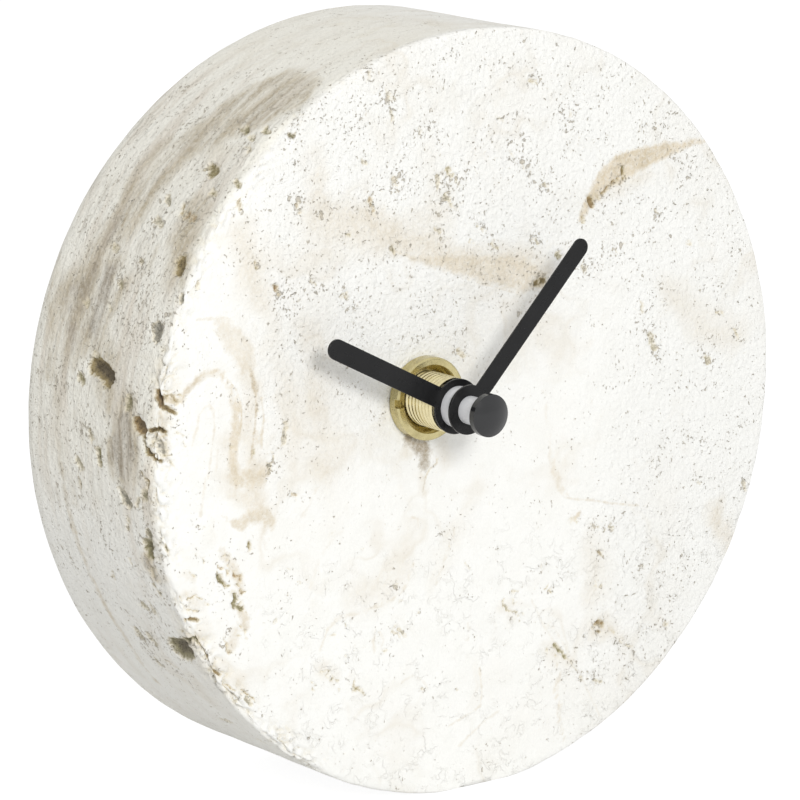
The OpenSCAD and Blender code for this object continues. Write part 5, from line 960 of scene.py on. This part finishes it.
warm = 1 - 0.6 * np.clip((turn_from(rows, 140) - 40) / 16, 0, 1)
# The hollow value also sets colour: deeper means darker, which is painted shade of the recess, and the worn
# rim's cracks get a little of it
carried = {"hollow": np.clip(cut_in / 0.5, 0, 2.5) + 0.35 * patchy * cracks, "tone": tone,
           "near_hollow": np.exp(nearest.clip(-9, 0) / 0.9), "grainy": grainy, "crinkled": crinkled,
           "on_side": np.clip(rows[:, 1] / 1.5, 0, 1) * warm, "side_share": side_share, "wash": wash,
           "stain_and_shade_reach": stain_and_shade_reach, "stain_and_shade_strength": stain_and_shade_strength, "stain_and_shade_soft": stain_and_shade_soft}
for point in blank.verts:
    point[layers["stain_and_shade_reach"]], point[layers["stain_and_shade_soft"]] = no_stain, 1.0
for name, values in carried.items():
    layer = layers[name]
    for point, value in zip(skin, values):
        point[layer] = value
for point, depth in zip(skin, cut_in + wear + wave):
    point.co -= point.normal * depth
bmesh.ops.translate(blank, vec=(0, 0, drum_z), verts=blank.verts)
print("deepest hollow %.2f mm" % cut_in.max())

# %% Flat foot, and the finished stone
bmesh.ops.bisect_plane(blank, geom=blank.verts[:] + blank.edges[:] + blank.faces[:], dist=1e-5,
                       plane_co=(0, 0, 0), plane_no=(0, 0, -1), clear_outer=True)
bmesh.ops.holes_fill(blank, edges=rim_of(blank), sides=0)
print("open edges after the foot:", len(rim_of(blank)))
bmesh.ops.triangulate(blank, faces=[face for face in blank.faces if len(face.verts) > 4])
stone = finish(blank, "stone_drum", "clock_body", travertine, "travertine", "stone_body", flat_above=180)
print("stone triangles:", sum(len(face.vertices) - 2 for face in stone.data.polygons))

# %% [markdown]
# ## Plain moulded and metal finishes
#
# The other pieces are plastic, metal, lacquer and rubber. Each finish still varies over the
# surface: moulded plastic has a fine matt texture and slightly uneven gloss, worn brass has dark
# patina and bright scratches, and lacquer has a faint orange-peel.

# %% Plastic, lacquer and rubber
def moulded_finish(name, colour, roughness, texture=0.25, relief=0.012, tint=0.06, gloss=0.35):
    """Moulded plastic: colour varies a little, and a fine texture breaks up the shine."""
    material, tree, shader = new_finish(name, colour, roughness)
    place = place_on(tree)
    darker = tuple(value * (1 - 2 * tint) for value in colour)
    lighter = tuple(min(1.0, value * (1 + tint) + 0.002) for value in colour)
    cloud = grain(tree, place, 4.0, 4.0, 0.6)
    tree.links.new(blend(tree, between(tree, cloud, 0.3, 0.7), darker, lighter), shader.inputs["Base Color"])
    fine = grain(tree, place, texture, 3.0, 0.6)
    handled = grain(tree, place, 1.6, 4.0, 0.6)
    tree.links.new(between(tree, handled, 0.3, 0.7, roughness - 0.07, roughness + 0.07),
                   shader.inputs["Roughness"])
    bumps(tree, shader, fine, relief)
    shader.inputs["Specular IOR Level"].default_value = gloss
    return material


def metal_finish(name, colour, patina, roughness, wear=0.35, relief=0.01, streak=(1.0, 1.0, 1.0),
                 size=1.2):
    """Metal with patina in soft clouds, and streaks that follow how it was worked."""
    material, tree, shader = new_finish(name, colour, roughness, 1.0)
    place = place_on(tree)
    drawn = node(tree, "Mapping", {"Vector": place, "Scale": streak}).outputs["Vector"]
    lines = grain(tree, drawn, 0.35, 5.0, 0.7)
    cloud = grain(tree, place, size, 5.0, 0.65)
    share = sums(tree, "MULTIPLY", between(tree, cloud, 0.42, 0.72), wear * 2)
    tree.links.new(blend(tree, share, colour, patina), shader.inputs["Base Color"])
    tree.links.new(between(tree, lines, 0.3, 0.7, roughness - 0.1, roughness + 0.14),
                   shader.inputs["Roughness"])
    bumps(tree, shader, lines, relief)
    return material


# Colour, roughness, and then what differs from the ordinary
moulded = {
    "washer_rubber": ((0.03, 0.03, 0.032), 0.8, 0.4, 0.03),
    "case_plastic": ((0.030, 0.030, 0.033), 0.48, 0.22, 0.018),
    "cover_plastic": ((0.024, 0.024, 0.027), 0.58, 0.3, 0.03),
    "knob_plastic": ((0.045, 0.045, 0.050), 0.38),
    "plate_plastic": ((0.72, 0.70, 0.62), 0.5),
    "wheel_plastic": ((0.80, 0.77, 0.68), 0.45),
    "pipe_plastic": ((0.78, 0.785, 0.80), 0.32, 0.3, 0.005, 0.03, 0.4),
    "bobbin_plastic": ((0.74, 0.70, 0.60), 0.5),
    "board": ((0.035, 0.13, 0.055), 0.3, 0.3, 0.02, 0.12, 0.5),
    "chip_resin": ((0.012, 0.012, 0.012), 0.22, 0.5, 0.02),
    "hand_lacquer": ((0.009, 0.009, 0.0095), 0.30, 0.5, 0.006, 0.1, 0.22),
    "cap_lacquer": ((0.012, 0.0125, 0.0135), 0.15, 1.0, 0.004, 0.1, 0.55),
}
metals = {
    "screw_steel": ((0.60, 0.60, 0.60), (0.32, 0.31, 0.30), 0.3),
    "magnet_ferrite": ((0.09, 0.095, 0.10), (0.05, 0.05, 0.05), 0.5),
    "soft_iron": ((0.42, 0.43, 0.44), (0.25, 0.24, 0.23), 0.38, 0.35, 0.012, (4.0, 1.0, 1.0)),
    "crystal_can": ((0.68, 0.69, 0.70), (0.5, 0.5, 0.5), 0.25),
    "contact_steel": ((0.66, 0.66, 0.66), (0.45, 0.44, 0.42), 0.25, 0.3, 0.01, (1.0, 1.0, 5.0)),
    "winding_copper": ((0.60, 0.25, 0.10), (0.30, 0.10, 0.04), 0.3, 0.3, 0.05, (14.0, 1.0, 1.0)),
    "nut_brass": ((0.57, 0.50, 0.265), (0.30, 0.245, 0.105), 0.22, 0.22, 0.003, (1.0, 1.0, 1.0), 1.6),
    "tube_brass": ((0.73, 0.65, 0.40), (0.42, 0.34, 0.16), 0.22, 0.22, 0.003, (1.0, 3.0, 1.0), 1.6),
}
finishes = {name: moulded_finish(name, *values) for name, values in moulded.items()}
finishes.update({name: metal_finish(name, *values) for name, values in metals.items()})


def cell_finish(low_x, high_x):
    """A battery's sleeve of two colours, with bare steel past its ends."""
    material, tree, shader = new_finish("cell_wrap", (0.05, 0.10, 0.16), 0.28)
    place = place_on(tree)
    band_long, cap_long, foot_long = 12, 1.4, 0.3
    x = sums(tree, "DIVIDE", node(tree, "SeparateXYZ", {0: place}).outputs["X"], mm)
    wear = grain(tree, place, 2.0, 5.0, 0.65)
    sleeve = blend(tree, between(tree, wear, 0.3, 0.7), (0.045, 0.09, 0.145), (0.065, 0.13, 0.20))
    band = between(tree, x, high_x - band_long - 0.05, high_x - band_long)
    sleeve = blend(tree, band, sleeve, (0.50, 0.20, 0.07))
    bare = sums(tree, "MAXIMUM", between(tree, x, low_x + foot_long, low_x + foot_long + 0.02, 1.0, 0.0),
                between(tree, x, high_x - cap_long - 0.02, high_x - cap_long))
    steel = blend(tree, between(tree, wear, 0.35, 0.7), (0.62, 0.62, 0.62), (0.42, 0.41, 0.40))
    tree.links.new(blend(tree, bare, sleeve, steel), shader.inputs["Base Color"])
    tree.links.new(bare, shader.inputs["Metallic"])
    tree.links.new(between(tree, wear, 0.3, 0.7, 0.2, 0.36), shader.inputs["Roughness"])
    bumps(tree, shader, wear, 0.015)
    return material


cell_low, cell_high = (Vector(corner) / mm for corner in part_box("battery"))
finishes["cell_wrap"] = cell_finish(cell_low.x, cell_high.x)
for material in finishes.values():
    print("finish:", material.name)

# %% Finish every solid from its slot
for part in frame["record"]["subparts"]:
    solid = solids[part["node"]]
    if part["material_slot"] in finishes:
        solid.data.materials.clear()
        solid.data.materials.append(finishes[part["material_slot"]])
        solid.data.set_sharp_from_angle(angle=radians(30))

# %% [markdown]
# ## Fixing nut
#
# The nut is a round brass ring with a countersunk mouth and two slots for a pin wrench. Its
# outline is spun about the shaft, which gives the small chamfers of a turned part, and the two
# slots are cut with a boolean by one block. A bevel then catches the light on the slots' edges.

# %% Fixing nut
def cut_away(piece, cutter_mesh):
    """Applies a boolean with a closed cutter, written in metres, and keeps the result as the mesh."""
    data = bpy.data.meshes.new("cutter")
    cutter_mesh.to_mesh(data)
    cutter_mesh.free()
    cutter = bpy.data.objects.new("cutter", data)
    bpy.context.scene.collection.objects.link(cutter)
    made = piece.modifiers.new("cut", "BOOLEAN")
    made.object, made.operation, made.solver = cutter, "DIFFERENCE", "EXACT"
    bpy.context.view_layer.update()
    result = bpy.data.meshes.new_from_object(piece.evaluated_get(bpy.context.evaluated_depsgraph_get()))
    piece.modifiers.clear()
    old, piece.data = piece.data, result
    bpy.data.meshes.remove(old)
    bpy.data.objects.remove(cutter)
    bpy.data.meshes.remove(data)
    piece.data.set_sharp_from_angle(angle=radians(30))


def bevelled(piece, width, segments=2, angle=30):
    made = piece.modifiers.new("bevel", "BEVEL")
    made.width, made.segments, made.profile = width * mm, segments, 0.5
    made.limit_method, made.angle_limit, made.harden_normals = "ANGLE", radians(angle), False
    return piece


nut_low, nut_high = (Vector(corner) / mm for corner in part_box("fixing_nut"))
nut_r, nut_front = (nut_high.x - nut_low.x) / 2, nut_low.y
tube_r = (tube_high.x - tube_low.x) / 2
thread_r, bore_gap, sink_r, sink_depth, chamfer = 3.9, 0.06, 4.9, 1.0, 0.25
profile = [(thread_r + bore_gap, face_y), (nut_r - 0.1, face_y), (nut_r, face_y - 0.1),
           (nut_r, nut_front + chamfer), (nut_r - chamfer, nut_front), (sink_r, nut_front),
           (sink_r - 0.12, nut_front + 0.12), (thread_r + bore_gap, nut_front + sink_depth)]
nut = finish(lathe(profile, shaft_x, shaft_z, 128), "slotted_nut", "clock_body", finishes["nut_brass"],
             "nut_brass", "fixing_nut")
slot = bmesh.new()
for side in (-1, 1):
    bmesh.ops.create_cube(slot, size=1, matrix=Matrix.Translation(
        (Vector((shaft_x + side * (thread_r + nut_r) / 2, nut_front, shaft_z))) * mm)
        @ Matrix.Diagonal((nut_r * 0.5 * mm, 1.6 * mm, 1.2 * mm, 1)))
cut_away(nut, slot)
bevelled(nut, 0.08)
print("nut radius %.2f mm" % nut_r)

# %% [markdown]
# ## Threaded tube
#
# The solid has plain grooves. On the real tube the thread is one helix, so a small zigzag is spun
# round the shaft while it moves along it by one pitch each turn. The ragged ends are cut flat with
# two planes, and the bore is a plain ring bridged to them.

# %% Threaded tube
pitch, thread_depth, bore_r = 0.75, 0.3, 2.96
tube_front, collar_back = tube_low.y, tube_high.y
collar_front = collar_back - 0.4
per_turn = 48
turns = int((collar_front - tube_front) / pitch) + 3
tube = bmesh.new()
start_y = tube_front - pitch
zigzag = [(thread_r, 0.0), (thread_r, 0.12), (thread_r - thread_depth, pitch / 2),
          (thread_r, 0.63), (thread_r, pitch)]
corners = [tube.verts.new((radius, start_y + y, 0)) for radius, y in zigzag]
edges = [tube.edges.new(pair) for pair in zip(corners, corners[1:])]
bmesh.ops.spin(tube, geom=corners + edges, cent=(0, 0, 0), axis=(0, 1, 0), dvec=(0, pitch / per_turn, 0),
               angle=2 * pi * turns, steps=per_turn * turns, use_merge=False)
bmesh.ops.remove_doubles(tube, verts=tube.verts, dist=0.004)
for plane_y, side in ((tube_front, -1), (collar_front, 1)):
    bmesh.ops.bisect_plane(tube, geom=tube.verts[:] + tube.edges[:] + tube.faces[:], dist=1e-4,
                           plane_co=(0, plane_y, 0), plane_no=(0, side, 0), clear_outer=True)


def rim_at(y):
    return [edge for edge in rim_of(tube) if all(abs(point.co.y - y) < 0.01 for point in edge.verts)]


front_rim, back_rim = rim_at(tube_front), rim_at(collar_front)
print("thread: %d turns, rims of %d and %d edges" % (turns, len(front_rim), len(back_rim)))
for radius, y in ((thread_r - 0.34, tube_front), (bore_r + 0.15, tube_front), (bore_r, tube_front + 0.15)):
    front_rim = pull_ring(tube, front_rim, at_radius(radius, y))
for radius, y in ((tube_r, collar_front), (tube_r, collar_back), (bore_r, collar_back)):
    back_rim = pull_ring(tube, back_rim, at_radius(radius, y))
bmesh.ops.bridge_loops(tube, edges=front_rim + back_rim)
bmesh.ops.translate(tube, vec=(shaft_x, 0, shaft_z), verts=tube.verts)
print("tube: %d open edges" % len(rim_of(tube)))
finish(tube, "threaded_brass_tube", "clock_body", finishes["tube_brass"], "tube_brass", "threaded_tube")

# %% [markdown]
# ## Battery
#
# A cell is a steel can with rounded ends in a thin plastic sleeve, which is shrunk a little way
# over them, and a button at one end. The whole is one outline spun about the cell's own axis. The
# lathe turns about y, so the mesh is then turned to lie along x.

# %% Battery
cell_r, cell_end = (cell_high.z - cell_low.z) / 2, cell_high.x - cell_low.x
can_end = cell_end - 1.1
outline = [(0, 0.15), (3.6, 0.15), (4.0, 0), (5.6, 0), (6.1, 0.1), (6.3, 0.28), (6.9, 0.3), (cell_r, 0.7),
           (cell_r, can_end - 0.7), (6.9, can_end - 0.2), (5.6, can_end - 0.2), (5.5, can_end - 0.45),
           (3.6, can_end - 0.4), (3.1, can_end - 0.05), (2.75, can_end), (2.75, cell_end - 0.35),
           (2.4, cell_end), (0, cell_end)]
cell = lathe(outline, 0, 0, 96)
bmesh.ops.rotate(cell, cent=(0, 0, 0), matrix=Matrix.Rotation(radians(-90), 3, "Z"), verts=cell.verts)
bmesh.ops.translate(cell, vec=(cell_low.x, (cell_low.y + cell_high.y) / 2, (cell_low.z + cell_high.z) / 2),
                    verts=cell.verts)
finish(cell, "battery_cell", "clock_body", finishes["cell_wrap"], "cell_wrap", "battery")

# %% [markdown]
# ## Pieces with softened edges
#
# Stamped, moulded and turned pieces have tiny rounded edges that catch a line of light. The solid
# already has the right shape, so a copy of it is merged and cleaned, and a bevel of a tenth of a
# millimetre or less is added. The hands' bevel is finer, because they are thin sheet.

# %% Copies with softened edges
def softened(source, name, body, slot, width, segments=2, angle=32):
    mesh = bmesh.new()
    mesh.from_mesh(solids[source].data)
    bmesh.ops.remove_doubles(mesh, verts=mesh.verts, dist=1e-6)
    bmesh.ops.dissolve_limit(mesh, angle_limit=radians(1), verts=mesh.verts, edges=mesh.edges)
    data = bpy.data.meshes.new(name)
    mesh.to_mesh(data)
    mesh.free()
    piece = bpy.data.objects.new(name, data)
    bpy.context.scene.collection.objects.link(piece)
    data.materials.append(finishes[slot])
    data.set_sharp_from_angle(angle=radians(30))
    bevelled(piece, width, segments, angle)
    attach(piece, body)
    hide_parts(source)
    print("%s: %d faces before its bevel" % (name, len(data.polygons)))
    return piece


softened("hour_hand", "hour_hand_blade", "hour", "hand_lacquer", 0.06)
softened("minute_hand", "minute_hand_blade", "minute", "hand_lacquer", 0.06)
softened("centre_cap", "domed_cap", "second", "cap_lacquer", 0.12, 3)
softened("minute_pipe", "minute_pipe_turned", "minute", "pipe_plastic", 0.05)
softened("hour_wheel", "hour_wheel_and_pipe", "hour", "pipe_plastic", 0.05)
softened("movement_case", "moulded_case", "clock_body", "case_plastic", 0.15)
softened("back_cover", "moulded_cover", "clock_body", "cover_plastic", 0.15)
softened("setting_knob", "grooved_knob", "setting", "knob_plastic", 0.12)

# %% [markdown]
# ## Camera
#
# The photograph was taken from the left of the clock and a little above it, from about 0.6 m. The
# camera's direction and distance come from the outline of the drum: an ellipse for the front rim
# and the rounded back edge behind it. No shift is used; the camera is simply placed a little to
# one side. Its distances are written in radii of the drum.

# %% Camera
azimuth, elevation = radians(-37.28), radians(12.44)
distance, aside, above, focal_px = 11.40, -0.199, 0.039, 4440
picture_px, fitted_r = 800, 55
backwards = Vector((sin(azimuth) * cos(elevation), -cos(azimuth) * cos(elevation), sin(elevation)))
rightwards = Vector((cos(azimuth), sin(azimuth), 0))
upwards = backwards.cross(rightwards)
eye = bpy.data.cameras.new("camera")
eye.sensor_width = 36.0
eye.lens = focal_px * eye.sensor_width / picture_px
eye.clip_start, eye.clip_end = 0.01, 20
camera = bpy.data.objects.new("camera", eye)
bpy.context.scene.collection.objects.link(camera)
offset = rightwards * aside + upwards * above + backwards * distance
place = Vector((0, face_y, drum_z)) + fitted_r * offset
turn = Matrix((rightwards, upwards, backwards)).transposed().to_4x4()
camera.matrix_world = Matrix.Translation(place * mm) @ turn
bpy.context.scene.camera = camera
print("camera at", [round(value, 4) for value in camera.location], "lens %.1f mm" % eye.lens)

# %% [markdown]
# ## Floor and light
#
# The photograph has a plain white background. The floor shows the camera a bright white that the
# clock's own shadow darkens a little, while it lights the clock only as a pale floor would. One
# square lamp stands in front of the clock, left of it and above, and the world fills in. The lamp
# is 14 cm wide, which gives the hands' shadows their soft edge.

# %% Floor
def looked_at(tree):
    """One where a ray comes from the camera, a reflection or clear matter, and else zero."""
    path = node(tree, "LightPath").outputs
    return sums(tree, "MAXIMUM", sums(tree, "MAXIMUM", path["Is Camera Ray"], path["Is Glossy Ray"]),
                path["Is Transmission Ray"])


floor_mesh = bmesh.new()
bmesh.ops.create_grid(floor_mesh, x_segments=1, y_segments=1, size=4)
floor_data = bpy.data.meshes.new("floor")
floor_mesh.to_mesh(floor_data)
floor_mesh.free()
floor = bpy.data.objects.new("floor", floor_data)
bpy.context.scene.collection.objects.link(floor)
floor_finish, tree, shader = new_finish("floor_white", (0.8, 0.8, 0.8), 0.9)
seen = looked_at(tree)
white = node(tree, "Emission", {"Color": (1, 1, 1, 1), "Strength": 0.93})
pale = node(tree, "BsdfDiffuse", {"Color": (0.2, 0.2, 0.2, 1)})
bright = node(tree, "AddShader", {0: white.outputs[0], 1: pale.outputs[0]})
choice = node(tree, "MixShader", {0: seen, 1: shader.outputs[0], 2: bright.outputs[0]})
tree.links.new(choice.outputs[0], tree.nodes["Material Output"].inputs["Surface"])
floor_data.materials.append(floor_finish)

# %% World and lamp
world = bpy.data.worlds.new("studio")
bpy.context.scene.world = world
world.use_nodes = True
tree = world.node_tree
background = tree.nodes["Background"]
background.inputs["Color"].default_value = (1, 1, 1, 1)
tree.links.new(between(tree, looked_at(tree), 0.0, 1.0, 0.71, 1.0), background.inputs["Strength"])
lamp_data = bpy.data.lights.new("softbox", "AREA")
lamp_data.shape, lamp_data.size, lamp_data.energy = "SQUARE", 0.14, 2.2
lamp = bpy.data.objects.new("softbox", lamp_data)
bpy.context.scene.collection.objects.link(lamp)
towards_lamp, lamp_distance = Vector((-0.38, -1.0, 0.42)).normalized(), 0.75
clock_middle = Vector((0, 0, 0.055))
lamp.matrix_world = (Matrix.Translation(clock_middle + towards_lamp * lamp_distance)
                     @ towards_lamp.to_track_quat("Z", "Y").to_matrix().to_4x4())
bpy.context.scene.view_settings.view_transform = "Standard"
print("lamp at", [round(value, 3) for value in lamp.location])
